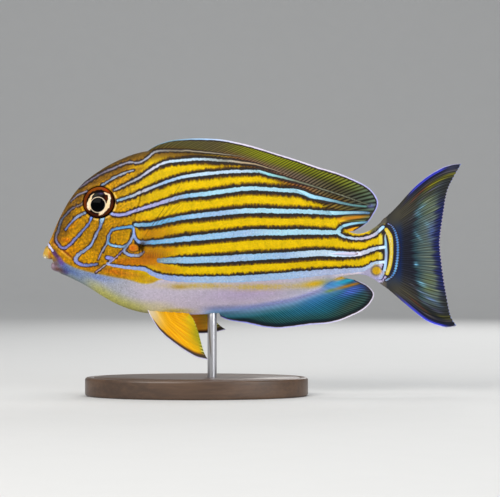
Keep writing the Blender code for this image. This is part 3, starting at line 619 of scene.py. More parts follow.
def ground(back, up):
    x, y = toPhoto(*asSeen(back, up))
    g = groundSet
    c = plain(g["flank"], x)
    c = lay(c, g["foreFlank"], step(200, 150, x))
    c = lay(c, g["head"], step(152, 118, x) * 0.95)
    c = dabs(c, x, y, headDabs)
    slope = topLine(back + 0.5) - topLine(back - 0.5)
    depth = (topLine(back) - up) / pixel / np.hypot(1, slope)  # pixels in from the back
    deepest = 17 - 3 * step(118, 160, x)
    c = lay(c, g["nape"], step(deepest, deepest - 9, depth) * band(x, 50, 60, 190, 250) * 0.85)
    c = lay(c, (66, 52, 26), step(6, 0, depth) * band(x, 56, 80, 190, 250) * 0.6)
    c = lay(c, (140, 98, 44), step(5, 0, depth) * band(x, 222, 262, 300, 330) * 0.8)
    for at, radii, turn, much in g["hotSpots"]:
        c = lay(c, g["hot"], spot(x, y, at, radii, turn) * much)
    c = lay(c, g["amber"], step(192, 150, x) * band(y, 214, 226, 258, 264) * step(132, 146, x) * 0.8)
    c = dabs(c, x, y, gillDabs)
    # the gold bands pale as they end at the bar
    ends = band(x, 377.5, 381.5, 384.5, 387) * band(y, 229, 232, 262, 266)
    c = lay(c, (206, 194, 104), ends * 0.7)
    dashes = 0.5 + 0.5 * np.sin(2.6 * (x + 0.35 * y) + 1.5 * np.sin(0.9 * y))
    c = lay(c, (96, 60, 14), dashes * spot(x, y, (155, 256), (15, 7)) * 0.55)
    ringAway = np.hypot((x - 133.8) / 6.0, (y - 247.8) / 4.2)
    c = lay(c, (236, 150, 30), step(1.0, 0.5, ringAway))
    c = lay(c, (222, 92, 22), spot(x, y, (132.6, 248.2), (3.0, 2.4)) * 0.65)
    c = lay(c, (66, 32, 26), bell(ringAway, 1.0, 0.14) * step(128, 134, x + y - 247) * 0.7)
    c = lay(c, (208, 124, 12), band(x, 114, 118, 154, 160) * band(y, 257.5, 259.5, 264, 266) * 0.9)
    c = dabs(c, x, y, cheekDabs)
    stroke = mottle((0.82 * back + 0.57 * up) / 3.4, 0.82 * up - 0.57 * back, 1.0)
    c = c * (1 + 0.20 * step(158, 112, x) * mottle(back, up, 1.7) + 0.05 * mottle(back, up, 5.0))[:, None]
    c = c * (1 + 0.15 * step(165, 120, x) * step(240, 216, y) * stroke)[:, None]
    under = step(-1.2, 1.2, y - bellyLine(x))
    belly = plain(g["belly"], x)
    belly = lay(belly, g["bellyPink"], spot(x, y, (250, 292), (46, 9), -6) * 0.85)
    belly = lay(belly, g["throat"], step(150, 112, x) * 0.75)
    belly = lay(belly, g["chin"], step(104, 74, x) * 0.9)
    belly = lay(belly, (120, 146, 214), spot(x, y, (98, 277), (17, 4), 12) * 0.7)
    low = (up - bottomLine(back)) / pixel  # pixels above the belly's edge
    belly = lay(belly, g["breast"], step(16, 3, low) * band(x, 78, 104, 154, 182) * 0.95)
    belly = lay(belly, (150, 160, 120), step(6, 0, low) * step(100, 70, x) * 0.4)
    belly = lay(belly, (196, 196, 214), band(x, 270, 300, 312, 340) * 0.6)
    deep = y - tealLine(x)
    depths, tones = zip(*g["tealRun"])
    run = np.stack([np.interp(deep, depths, [tone[k] for tone in tones]) for k in range(3)], -1)
    belly = lay(belly, run, step(-11, -6.5, deep) * step(196, 216, x))
    belly = lay(belly, g["rearBlue"], spot(x, y, (318, 297), (22, 8), -24) * step(-6, 2, deep) * 0.7)
    faint = spot(x, y, (200, 285.8), (34, 2.6)) * 0.9 + spot(x, y, (262, 287.0), (26, 3.0), -1) * 0.6
    level = bell(y + 0.03 * (x - 270), 286.6, 3.0)
    faint = faint + 0.35 * band(x, 224, 246, 306, 322) * level
    belly = lay(belly, g["faintYellow"], np.clip(faint * (1 + 0.6 * mottle(back, up, 1.4)), 0, 1))
    belly = dabs(belly, x, y, bellyDabs)
    belly = lay(belly, g["gold"], spot(x, y, (317, 283.4), (14, 3.0), -8) * 0.95)
    # painted light: the belly is made brighter along its lower edge, against the shade that falls there
    belly = belly * (1 + 0.20 * band(low, -0.8, 0, 0.5, 7) * step(186, 206, x))[:, None]
    belly = rearStreaks(belly, x, y)
    c = lay(c, belly, under)
    # streaks behind the lips, and the dull skin between them
    lean = 0.66 * (x - 52) - 0.75 * (y - 246)
    run = 0.75 * (x - 52) + 0.66 * (y - 246)
    beside = band(run, -3, 1, 18, 27)
    c = lay(c, (250, 190, 78), bell(lean, 2.6, 1.0) * beside * 0.9)
    c = lay(c, (134, 44, 24), bell(lean, 4.4, 0.8) * beside * 0.9)
    c = lay(c, (240, 176, 60), bell(lean, 6.0, 0.7) * beside * step(14, 4, run) * 0.6)
    behind = 0.814 * (x - 50.2) - 0.58 * (y - 247.2)  # pixels behind the middle of the plum band
    down = 0.58 * (x - 50.2) + 0.814 * (y - 247.2)
    c = lay(c, (88, 52, 118), bell(behind, 0, 2.3, 4) * band(down, 2.5, 6, 12, 17) * 0.95)
    c = lay(c, (120, 84, 178), bell(behind, 0.2, 2.7, 4) * band(down, 11, 15, 19, 26) * 0.9)
    c = lay(c, (96, 112, 190), bell(behind, 0.6, 3.0) * band(down, 19, 24, 28, 34) * 0.7)
    c = dabs(c, x, y, lipDabs)
    # round the tail's root: the yellow bands end rounded before the first pale bar
    c = lay(c, g["dark"], step(383.4, 385.2, x) * 0.97)
    for end, middle, half in ((383.0, 239.6, 6.4), (382.2, 256.6, 4.8)):
        rise = np.abs(y - middle) / half
        c = lay(c, g["dark"], step(-0.6, 0.9, x - end + 3.4 * np.clip(rise, 0, 1.3) ** 4) * step(1.5, 1.2, rise)
                * step(370, 374, x) * 0.97)
    over = step(238, 234, y + 0.95 * (x - 372)) * step(366, 374, x)
    c = lay(c, (112, 110, 88), over * 0.95)
    c = lay(c, (190, 184, 216), step(263.8, 265.6, y + 0.28 * (x - 376)) * step(358, 366, x))
    blob = np.hypot((x - 376.4) / 4.4, (y - 270.6) / 4.1)
    c = lay(c, (122, 102, 60), bell(blob, 1.08, 0.24) * 0.75)
    c = lay(c, (228, 180, 28), step(1.08, 0.78, blob))
    lobeLow = step(-0.8, 0.8, y - 282.4 + 0.55 * (x - 381)) * step(376, 380, x)
    lobeHigh = step(0.8, -0.8, y - 225.0 + 0.45 * (x - 381)) * step(374, 380, x)
    c = lay(c, (84, 78, 68), np.clip(lobeLow + lobeHigh, 0, 1) * 0.95)
    # painted highlight: a thin pale line where light catches the rim of the eye's socket, behind and below the eye
    rimAway = np.hypot(back - eyePlace["at"][0], up - eyePlace["at"][1])
    rimTurn = np.degrees(np.arctan2(up - eyePlace["at"][1], back - eyePlace["at"][0]))
    c = lay(c, (216, 206, 190), bell(rimAway, 7.5, 0.22) * band(rimTurn, -140, -110, 20, 48) * 0.65)
    # the groove round the folding blade
    groove = fromBlade(back, up, 7.6, 1.75)
    c = lay(c, (112, 78, 92), bell(groove, 1.0, 0.16) * 0.85)
    return c


def meshPiece(name, points, faces, material, fields=None, uv=None):
    corner = np.concatenate([f.ravel() for f in faces]).astype(np.int32)
    counts = np.concatenate([np.full(len(f), f.shape[1]) for f in faces])
    starts = np.concatenate([[0], np.cumsum(counts)[:-1]]).astype(np.int32)
    volume = 0.0
    for f in faces:
        for k in range(1, f.shape[1] - 1):
            a, b, c = points[f[:, 0]], points[f[:, k]], points[f[:, k + 1]]
            volume += np.einsum("ij,ij->i", a - points[0], np.cross(b - points[0], c - points[0])).sum()
    if volume < 0:
        turned = [f[:, ::-1] for f in faces]
        corner = np.concatenate([f.ravel() for f in turned]).astype(np.int32)
    mesh = bpy.data.meshes.new(name)
    mesh.vertices.add(len(points))
    mesh.vertices.foreach_set("co", points.astype(np.float32).ravel())
    mesh.loops.add(len(corner))
    mesh.loops.foreach_set("vertex_index", corner)
    mesh.polygons.add(len(counts))
    mesh.polygons.foreach_set("loop_start", starts)
    mesh.update(calc_edges=True)
    mesh.polygons.foreach_set("use_smooth", np.ones(len(counts), bool))
    for key, values in (fields or {}).items():
        values = np.asarray(values, np.float32)
        if values.ndim == 2:
            made = mesh.attributes.new(key, "FLOAT_VECTOR", "POINT")
            made.data.foreach_set("vector", values.ravel())
        else:
            made = mesh.attributes.new(key, "FLOAT", "POINT")
            made.data.foreach_set("value", values)
    if uv is not None:
        layer = mesh.uv_layers.new(name="OFBake")
        layer.data.foreach_set("uv", uv[corner].astype(np.float32).ravel())
    mesh.materials.append(material)
    piece = addObject(name, mesh)
    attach(piece, "root")
    return piece


def gridFaces(rows, columns, offset=0, closeColumns=False):
    i, j = np.meshgrid(np.arange(rows - 1), np.arange(columns if closeColumns else columns - 1), indexing="ij")
    after = (j + 1) % columns
    quads = np.stack([i * columns + j, i * columns + after, (i + 1) * columns + after, (i + 1) * columns + j], -1)
    return quads.reshape(-1, 4) + offset


def capFaces(sides, rings, tips):
    # fans from the point tips to the first ring, and from the one after it to the last ring
    k = np.arange(sides)
    after, base = (k + 1) % sides, (rings - 1) * sides
    first = np.stack([np.full(sides, tips), after, k], 1)
    return [first, np.stack([np.full(sides, tips + 1), base + k, base + after], 1)]


# The skin's finish: the pale lines, their dark edges toothed by the scales, a brown halo, and the ground between.
skinSet = {
    "dark": (0.034, 0.026, 0.020),
    "halo": (0.26, 0.17, 0.40),
    "haloReach": 1.55,  # in widths of the dark edge
    "combLength": 0.68,  # how far the teeth of the dark edges reach, in mm
    "combPitch": 1.05,
    "coatDepth": 0.14,
    "columns": 460,
    "rows": 140,
    "rearEnd": 149.2,
    "pressSoft": 0.4,  # how softly the skin turns flat behind the lips, in mm
}


def markedMaterial(name, roughness, specular, coat, bump, speckle=0.10, combLength=0.0):
    inputs = {"Roughness": roughness, "Specular IOR Level": specular, "Coat Weight": coat, "Coat Roughness": 0.22}
    made, tree, shader = newMaterial(name, inputs)
    here = objectSpace(tree)
    gap, edge = attribute(tree, "lineGap"), attribute(tree, "lineEdge")
    base = attribute(tree, "ground", "Color")
    grain = noiseNode(tree, here, 2600.0, 2.0)
    patches = noiseNode(tree, here, 260.0, 3.0)
    # each scale reaches a little further into the dark edge than the skin beside it
    tooth = mathNode(tree, "MULTIPLY", attribute(tree, "plate"), combLength)
    comb = noiseNode(tree, here, 1000 / skinSet["combPitch"], 1.0, 0.4, (1.0, 0.4, 0.5))
    ragged = contrast(tree, comb, combLength * 2.5)
    toothed = mathNode(tree, "ADD", gap, mathNode(tree, "ADD", tooth, ragged))
    ratio = mathNode(tree, "DIVIDE", toothed, mathNode(tree, "MAXIMUM", edge, 0.05))
    strength = rampNode(tree, edge, 0.10, 0.42)
    halo = mathNode(tree, "MULTIPLY", rampNode(tree, ratio, 0.80, skinSet["haloReach"], rising=False), strength)
    darkness = mathNode(tree, "MULTIPLY", rampNode(tree, ratio, 0.55, 1.05, rising=False), strength)
    ripple = mathNode(tree, "ADD", gap, mathNode(tree, "MULTIPLY", ragged, 0.4))
    paleness = rampNode(tree, ripple, -0.16, 0.14, rising=False)
    flecks = rampNode(tree, noiseNode(tree, here, 1500.0, 2.0), 0.42, 0.72)
    flecks = mathNode(tree, "ADD", mathNode(tree, "MULTIPLY", flecks, 0.32), 0.05)
    core = mathNode(tree, "MULTIPLY", rampNode(tree, gap, -0.75, -0.15, rising=False), flecks)
    shade = mathNode(tree, "ADD", contrast(tree, grain, speckle * 2.4), contrast(tree, patches, speckle * 1.6))
    shade = mathNode(tree, "ADD", shade, 1.0)
    if combLength:
        shade = mathNode(tree, "MULTIPLY", shade, attribute(tree, "plateShade"))
    brown = mixNode(tree, 1.0, base, skinSet["halo"], "MULTIPLY")
    colour = mixNode(tree, halo, base, brown)
    colour = mixNode(tree, darkness, colour, skinSet["dark"])
    pale = mixNode(tree, core, attribute(tree, "lineTint", "Color"), (0.92, 0.95, 1.0))
    colour = mixNode(tree, paleness, colour, pale)
    finishShader(tree, shader, greyed(tree, colour, shade), grain, bump, 0.00012)
    return made


skinMaterial = markedMaterial("stripedSkin", 0.42, 0.14, 0.04, 0.45, combLength=skinSet["combLength"])
print("skin material mixed")


reliefSet = {  # heights over the plain skin, in mm
    "gillGroove": -0.42, "cheek": 0.16, "eyeRim": 0.42, "socket": -1.9, "nostril": -0.75, "nostrilRim": 0.16,
    "bladeGroove": -0.50, "bladeRim": 0.10, "jaw": -0.10,
}


def relief(back, up):
    h = reliefSet
    away = gillDistance(back, up)
    cover = bodySet["gillRise"] * step(14, 36, back) * step(0.34, -0.30, away) * step(36, 18, up)
    groove = h["gillGroove"] * bell(away, 0.42, 0.30) * step(19, 26, back) * step(26, 12, up)
    cheek = h["cheek"] * bell(away, -0.7, 0.55) * step(19, 26, back) * step(26, 12, up)
    fromEye = np.hypot(back - eyePlace["at"][0], up - eyePlace["at"][1])
    ring = eyePlace["radius"]
    rim = h["eyeRim"] * bell(fromEye - ring, 0.55, 0.55)
    socket = h["socket"] * step(ring + 0.15, ring - 0.5, fromEye)
    shape = cover + groove + cheek + rim + socket
    for at, radius, _clear in nostrils:
        r = np.hypot(back - at[0], up - at[1]) / radius
        shape = shape + h["nostril"] * np.exp(-(r**2) * 1.6) + h["nostrilRim"] * bell(r, 1.5, 0.45)
    blade = fromBlade(back, up, 6.9, 1.25)
    shape = shape + h["bladeGroove"] * step(1.0, 0.75, blade) + h["bladeRim"] * bell(blade, 1.12, 0.14)
    # the jaw's line
    return shape + h["jaw"] * bell(up + 0.42 * (back - 10), -9.2, 0.8) * step(20, 14, back)


def buildSkinGrid():
    s = skinSet
    share = np.linspace(0, 1, s["columns"])
    # half of the columns are on the head
    back = np.interp(share, [0, 0.06, 0.48, 1.0], [-1.0, 3.2, 46.0, s["rearEnd"]])
    w = np.linspace(0, 1, s["rows"] + 1)
    fine = np.linspace(-math.pi / 2, math.pi / 2, 361)
    out, up = section(back[:, None], fine[None, :])
    thin = 1 - 0.93 * step(144.0, s["rearEnd"], back)
    out = out * thin[:, None]
    arcs = np.concatenate([np.zeros((len(back), 1)), np.cumsum(np.hypot(np.diff(out), np.diff(up)), axis=1)], axis=1)
    grid = np.empty((len(back), len(w), 3))
    for i in range(len(back)):
        angle = w * arcs[i, -1]
        grid[i, :, 1] = np.interp(angle, arcs[i], out[i])
        grid[i, :, 2] = np.interp(angle, arcs[i], up[i])
    grid[:, :, 0] = back[:, None]
    along, around = np.gradient(grid, axis=0), np.gradient(grid, axis=1)
    around[:, 0] = around[:, -1] = 0
    around[:, 0, 1], around[:, -1, 1] = 1, -1
    normal = np.cross(along, around)
    normal /= np.linalg.norm(normal, axis=-1, keepdims=True) + 1e-12
    normal *= np.sign(normal[:, s["rows"] // 2, 1])[:, None, None]
    normal[:, 0, 1] = normal[:, -1, 1] = 0
    lift = relief(grid[..., 0].ravel(), grid[..., 2].ravel()).reshape(grid.shape[:2])
    onFlank = step(0.0, 2.0, grid[..., 1])
    grid = grid + normal * (lift * onFlank - s["coatDepth"])[..., None]
    # the front of the head is pressed flat behind the lips
    top, bottom = np.array(bodySet["mouthTop"]), np.array(bodySet["mouthBottom"])
    way = (bottom - top) / np.linalg.norm(bottom - top)
    ahead = np.array([way[1], -way[0]])
    past = (grid[..., 0] - top[0]) * ahead[0] + (grid[..., 2] - top[1]) * ahead[1]
    soft = s["pressSoft"]
    over = past + soft
    press = np.where(past > -soft, over - soft * (1 - np.exp(-np.clip(over, 0, 9) / soft)), 0)
    grid[..., 0] -= ahead[0] * press
    grid[..., 2] -= ahead[1] * press
    return back, w, grid, normal, arcs[:, -1]


skinBack, skinShare, skinGrid, skinNormal, skinArc = buildSkinGrid()
print("skin shaped", skinGrid.shape)


# The baked map: along the body from start, and across it the right side first, then the left side.
bakeSet = {
    "start": 0.01, "long": 0.98, "low": 0.005, "right": 0.49, "leftFrom": 0.51, "left": 0.48,
    "patch": (0.003, 0.0015),  # a scale's length and half its width in the map
}


def bakeAlong(back):
    share = (np.clip(back, skinBack[0], skinBack[-1]) - skinBack[0]) / (skinBack[-1] - skinBack[0])
    return bakeSet["start"] + share * bakeSet["long"]


def bakeAcross(share, onRight):
    # on the right from the belly up, and on the left from the back down
    s = bakeSet
    return s["low"] + (share * s["right"] if onRight else s["leftFrom"] + share * s["left"])


def otherSide(back, up, rise):
    # the far side's lines wander a little from the near side's, and join them at the midline
    b = back + rise * (0.9 * np.sin(up * 0.23 + 1.0) + 0.5 * np.sin(up * 0.71))
    u = up + rise * (0.55 * np.sin(back * 0.16 + 0.6) + 0.25 * np.sin(back * 0.47))
    return b, u


def colourFields(back, up):
    gap, edge, tint = markings(back, up)
    return {"lineGap": gap, "lineEdge": edge, "lineTint": tint, "ground": linear(ground(back, up))}


def buildSkin():
    s = skinSet
    n, m = len(skinBack), s["rows"] + 1
    right = skinGrid.copy()
    left = skinGrid[:, ::-1][:, 1:-1].copy()
    left[..., 1] *= -1
    ring = np.concatenate([right, left], axis=1)
    columns = ring.shape[1]
    points = world(ring[..., 0], ring[..., 1], ring[..., 2]).reshape(-1, 3)
    front, rear = ring[0].mean(0), ring[-1].mean(0)
    points = np.vstack([points, world(*front), world(*rear)])
    faces = [gridFaces(n, columns, closeColumns=True), *capFaces(columns, n, n * columns)]
    b, u = ring[..., 0].ravel(), ring[..., 2].ravel()
    rise = np.concatenate([np.sin(np.pi * skinShare), np.zeros(m - 2)])
    rise = np.tile(rise, (n, 1)).ravel()
    bb, uu = otherSide(b, u, rise)
    bb, uu = np.append(bb, [front[0], rear[0]]), np.append(uu, [front[2], rear[2]])
    fields = colourFields(bb, uu)
    fields["plate"], fields["plateShade"] = np.zeros(len(bb)), np.ones(len(bb))
    across = np.concatenate([bakeAcross(skinShare, True), bakeAcross(skinShare[1:-1], False)])
    uv = np.stack(np.meshgrid(bakeAlong(skinBack), across, indexing="ij"), -1).reshape(-1, 2)
    uv = np.vstack([uv, [0.004, 0.5], [0.996, 0.5]])
    piece = meshPiece("fishSkin", points, faces, skinMaterial, fields, uv)
    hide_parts("head", "trunk", "tail_stock")


buildSkin()
print("skin laid")

# Scales: small domed plates over the skin, in rows along the body, each rooted under the one ahead of it.
scaleSet = {
    "row": 0.58,  # between rows, in mm
    "pitchHead": 0.50,
    "pitchFlank": 0.64,
    "reach": 1.5,  # a scale's length, in pitches
    "lift": (-0.05, 0.045, 0.085),  # its front edge, its middle and its rear edge above the skin
    # a scale's grey: darker at its root, as painted shade where the scale ahead lies over it, and lighter at its rear
    # edge, as painted light
    "shade": (0.84, 1.12),  # from its root to its rear edge
    "halfWide": 0.56,  # half of its width, in rows
    "dome": 0.022,  # how far its middle stands out, and how far its sides droop, in mm
    "droop": 0.030,
    "span": (2.6, 143.6),
    "cuts": (43.0, 82.0),  # where the coat's three pieces meet
}


def skinSpots(back, share):
    column = np.interp(back, skinBack, np.arange(len(skinBack)))
    row = np.clip(share, 0, 1) * skinSet["rows"]
    i = np.clip(column.astype(int), 0, len(skinBack) - 2)
    j = np.clip(row.astype(int), 0, skinSet["rows"] - 1)
    a, b = (column - i)[..., None], (row - j)[..., None]
    found = []
    for field in (skinGrid, skinNormal):
        near = field[i, j] * (1 - b) + field[i, j + 1] * b
        far = field[i + 1, j] * (1 - b) + field[i + 1, j + 1] * b
        found.append(near * (1 - a) + far * a)
    return found


def scaleRoots():
    s = scaleSet
    backs = [s["span"][0]]
    while backs[-1] < s["span"][1]:
        backs.append(backs[-1] + s["pitchHead"] + (s["pitchFlank"] - s["pitchHead"]) * float(step(30, 60, backs[-1])))
    roots = []
    for k, back in enumerate(backs):
        arc = float(np.interp(back, skinBack, skinArc))
        most = int(arc / 2 / s["row"])
        away = (np.arange(-most, most + 1) + 0.5 * (k % 2)) * s["row"]
        away = away[np.abs(away) < arc / 2 - 0.15]
        pitch = (backs[k + 1] if k + 1 < len(backs) else back + s["pitchFlank"]) - back
        roots.append(np.column_stack([np.full(len(away), back), away, np.full(len(away), pitch)]))
    return np.vstack(roots)


def bareSkin(back, up):
    fromEye = np.hypot(back - eyePlace["at"][0], up - eyePlace["at"][1])
    bare = fromEye < eyePlace["radius"] + 0.75
    slit = gillDistance(back, up)
    bare |= (slit > 0.05) & (slit < 0.70) & (up < 16) & (back > 23)
    bare |= fromBlade(back, up, 6.9, 1.45) < 1.0
    for at, _radius, clear in nostrils:
        bare |= np.hypot(back - at[0], up - at[1]) < clear
    top, way = bodySet["mouthTop"], bodySet["mouthWay"]
    past = (back - top[0]) * way[1] - (up - top[1]) * way[0]
    bare |= past > -1.2 - 0.05 * (up + 6)  # the bare band behind the lips
    return bare


def buildScales():
    s = scaleSet
    roots = scaleRoots()
    # around each plate, in shares of its length and of half its width
    rim = np.array([(0.0, 0.0), (0.16, 0.78), (0.55, 1.02), (0.86, 0.66), (1.0, 0.0), (0.86, -0.66), (0.55, -1.02),
                    (0.16, -0.78), (0.5, 0.0)])
    lift = np.interp(rim[:, 0], [0, 0.5, 1], s["lift"]) - s["droop"] * np.abs(rim[:, 1])
    count = len(rim)
    sides = count - 1  # the last point is the middle
    lift[sides] += s["dome"]
    top = np.array([(sides, k, (k + 1) % sides) for k in range(sides)])
    under = np.array([(0, k + 1, k) for k in range(1, sides - 1)])
    plate = np.vstack([top, under])
    noise = np.random.default_rng(7)
    for side, sideName in ((-1, "Left"), (1, "Right")):
        b = roots[:, 0] + noise.normal(0, 0.025, len(roots))
        away = roots[:, 1] + noise.normal(0, 0.02, len(roots))
        length = roots[:, 2] * s["reach"] * noise.uniform(0.95, 1.06, len(roots))
        arc = np.interp(b, skinBack, skinArc)
        middle = skinSpots(b, 0.5 + away / arc)[0]
        keep = ~bareSkin(middle[:, 0], middle[:, 2])
        b, away, length = b[keep], away[keep], length[keep]
        rise = lift[None, :] * noise.uniform(0.85, 1.2, len(b))[:, None]
        backs = b[:, None] + (rim[None, :, 0] - 0.35) * length[:, None]
        aways = away[:, None] + rim[None, :, 1] * s["row"] * s["halfWide"]
        shares = 0.5 + aways / np.interp(backs, skinBack, skinArc)
        spots, normals = skinSpots(backs, np.clip(shares, 0.001, 0.999))
        spots = spots + normals * rise[..., None]
        flat = spots.reshape(-1, 3)
        shownBack, shownUp = flat[:, 0], flat[:, 2]
        points = world(flat[:, 0], side * np.maximum(flat[:, 1], 0.0), flat[:, 2])
        if side > 0:
            shownBack, shownUp = otherSide(flat[:, 0], flat[:, 2], np.sin(np.pi * np.clip(shares, 0, 1)).ravel())
        fields = colourFields(shownBack, shownUp)
        rough = 0.05 + 0.07 * step(50, 25, b)
        # painted shade at each scale's root and painted light at its rear edge, with a little random tone from scale to
        # scale
        tone = np.interp(rim[:, 0], [0, 1], s["shade"])[None, :] * (1 + noise.normal(0, 1, len(b)) * rough)[:, None]
        fields["plate"] = np.tile(rim[:, 0] - 0.5, len(b))
        fields["plateShade"] = np.clip(tone, 0.6, 1.3).ravel()
        rootShare = np.clip(0.5 + away / np.interp(b, skinBack, skinArc), 0.0, 1.0)
        v = bakeAcross(rootShare, True) if side > 0 else bakeAcross(1 - rootShare, False)
        patch = (rim - np.array([0.5, 0.0])) * bakeSet["patch"]
        uv = (np.stack([bakeAlong(b), v], -1)[:, None, :] + patch[None]).reshape(-1, 2)
        uv = np.clip(uv, 0.0005, 0.9995)
        # in three lengths of the body, so that no piece is heavy
        order = np.argsort(b, kind="stable")
        cuts = np.searchsorted(b[order], s["cuts"])
        for name, picked in zip(("Head", "Flank", "Rear"), np.split(order, cuts)):
            chosen = (picked[:, None] * count + np.arange(count)[None]).ravel()
            local = plate[None] + (np.arange(len(picked)) * count)[:, None, None]
            local = local.reshape(-1, 3) if side > 0 else local.reshape(-1, 3)[:, ::-1]
            part = {key: values[chosen] for key, values in fields.items()}
            piece = meshPiece(f"scales{name}{sideName}", points[chosen], [local], skinMaterial, part, uv[chosen])
        print("scales laid on the", sideName.lower(), len(b))


buildScales()

# Lips and teeth
lipSet = {
    # their outlines from the side, in pixels, and how far they reach out
    "upper": {"outline": [(55, 253.6), (53.4, 249), (50, 246.2), (46.8, 246), (45.1, 248.2), (44, 251.2),
        (43.1, 254.6), (43.3, 256.9), (45.6, 258), (48.6, 259.1), (51.8, 259.3), (54.2, 257.4)],
              "reach": 4.05},
    "lower": {"outline": [(61.8, 267.4), (59.4, 263.4), (56.2, 261.3), (53.4, 261.7), (51.6, 263.8), (51.1, 266.7),
        (52.2, 269.4), (54.8, 271), (58, 271.9), (61, 271.6)],
              "reach": 3.9},
    "wrap": 0.045, "ridges": 46, "ridgeHeight": 0.035,
    "teeth": 12, "toothSize": (0.28, 0.24, 0.60), "rowsAt": [(0.62, -1.30), (4.3, -3.86)],
    "rowOut": 2.35, "rowBack": 0.9, "rowTurn": 1.25, "enamel": (232, 226, 208),
}


def paintedMaterial(name, roughness, coat, bump, speckle=0.12, coatRoughness=0.12, specular=0.5):
    inputs = {"Roughness": roughness, "Specular IOR Level": specular, "Coat Weight": coat,
              "Coat Roughness": coatRoughness}
    made, tree, shader = newMaterial(name, inputs)
    grain = noiseNode(tree, objectSpace(tree), 1800.0, 3.0)
    shade = mathNode(tree, "ADD", contrast(tree, grain, speckle * 2), 1.0)
    finishShader(tree, shader, greyed(tree, attribute(tree, "ground", "Color"), shade), grain, bump, 0.0001)
    return made


def roundBody(rings, sides):
    # a sphere with its poles at the two sides (out), as (across, out, up)
    theta = np.linspace(0, np.pi, rings)[1:-1]
    phi = np.linspace(0, 2 * np.pi, sides, endpoint=False)
    t, p = np.meshgrid(theta, phi, indexing="ij")
    points = np.stack([np.sin(t) * np.cos(p), np.cos(t), np.sin(t) * np.sin(p)], -1).reshape(-1, 3)
    points = np.vstack([points, [0, 1, 0], [0, -1, 0]])
    return points, [gridFaces(rings - 2, sides, closeColumns=True), *capFaces(sides, rings - 2, len(points) - 2)]


def buildLip(name, plan, node):
    ball, faces = roundBody(80, 72)
    ridge = np.sin(np.arctan2(ball[:, 1], 0.35 + np.abs(ball[:, 0])) * lipSet["ridges"]) * lipSet["ridgeHeight"]
    ridge = ridge * (1 - ball[:, 1] ** 2) * step(0.9, 0.2, np.abs(ball[:, 2]))
    loop = photo([*plan["outline"], plan["outline"][0]])
    centre = loop[:-1].mean(0)
    rim = alongCurve(loop)(np.linspace(0, 1, 400)) - centre
    turn, reach = np.arctan2(rim[:, 1], rim[:, 0]), np.hypot(rim[:, 0], rim[:, 1])
    angle, share = np.arctan2(ball[:, 2], ball[:, 0]), np.hypot(ball[:, 0], ball[:, 2])
    away = (np.interp(angle, *(values[np.argsort(turn)] for values in (turn, reach)), period=2 * np.pi) + ridge) * share
    y = ball[:, 1] * plan["reach"]
    x = centre[0] + away * np.cos(angle) + lipSet["wrap"] * y**2
    z = centre[1] + away * np.sin(angle)
    px, py = toPhoto(x, z)
    comb = 0.5 + 0.5 * np.sin(np.arctan2(y, 1.4) * 34 + 0.6 * z)
    if name == "upperLip":
        c = plain((206, 156, 40), x)
        c = lay(c, (196, 162, 66), spot(px, py, (45.6, 250.8), (1.8, 3.0)) * 0.8)
        c = lay(c, (196, 116, 20), step(48.2, 50.2, px) * step(249.5, 252.5, py) * 0.9)
        c = lay(c, (128, 108, 48), step(249.4, 246.6, py) * 0.7)
        edge = step(252.8, 255.0, py - 0.25 * (px - 43)) * step(50.0, 47.0, px)
        c = lay(c, (216, 212, 186), edge * (0.2 + 0.8 * comb))
        c = lay(c, (120, 92, 44), step(257.6, 259.0, py) * 0.8)
    else:
        c = plain((118, 92, 108), x)
        # painted highlights: a pale spot high on the lower lip's front, and its front edge made paler, where light
        # falls on the round lip
        c = lay(c, (186, 164, 180), spot(px, py, (53.4, 265.4), (1.6, 2.2)) * 0.7)
        c = lay(c, (94, 50, 38), spot(px, py, (58.6, 269.6), (3.2, 2.4)) * 0.9)
        c = lay(c, (178, 176, 190), step(52.4, 51.4, px) * 0.5)
        c = lay(c, (112, 92, 140), step(269.8, 271.8, py) * 0.7)
        c = lay(c, (196, 176, 90), spot(px, py, (55.4, 262.0), (2.0, 1.2)) * 0.7)
    piece = meshPiece(name, world(x, y, z), faces, lipMaterial, {"ground": linear(c)})
    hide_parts(node)


def buildTeeth():
    # two rows of small flat teeth, set in the gap between the lips
    s = lipSet
    ball, faces = roundBody(10, 10)
    points, found, total = [], [], 0
    for at in s["rowsAt"]:
        for k in range(s["teeth"]):
            angle = (k + 0.5) / s["teeth"] * 2 - 1
            turn = angle * s["rowTurn"]
            shape = ball * np.array(s["toothSize"])
            shape[:, 0] += at[0] + s["rowBack"] * (1 - math.cos(turn)) + 0.10 * shape[:, 2]
            shape[:, 1] += s["rowOut"] * math.sin(turn)
            shape[:, 2] += at[1]
            points.append(world(*shape.T))
            found += [f + total for f in faces]
            total += len(ball)
    enamel = np.tile(linear(s["enamel"]), (total, 1))
    piece = meshPiece("teeth", np.vstack(points), found, toothMaterial, {"ground": enamel})


lipMaterial = paintedMaterial("lipSkin", 0.5, 0.08, 0.5)
toothMaterial = paintedMaterial("toothEnamel", 0.3, 0.3, 0.1)
buildLip("upperLip", lipSet["upper"], "upper_lip")
buildLip("lowerLip", lipSet["lower"], "lower_lip")
buildTeeth()
print("mouth built")

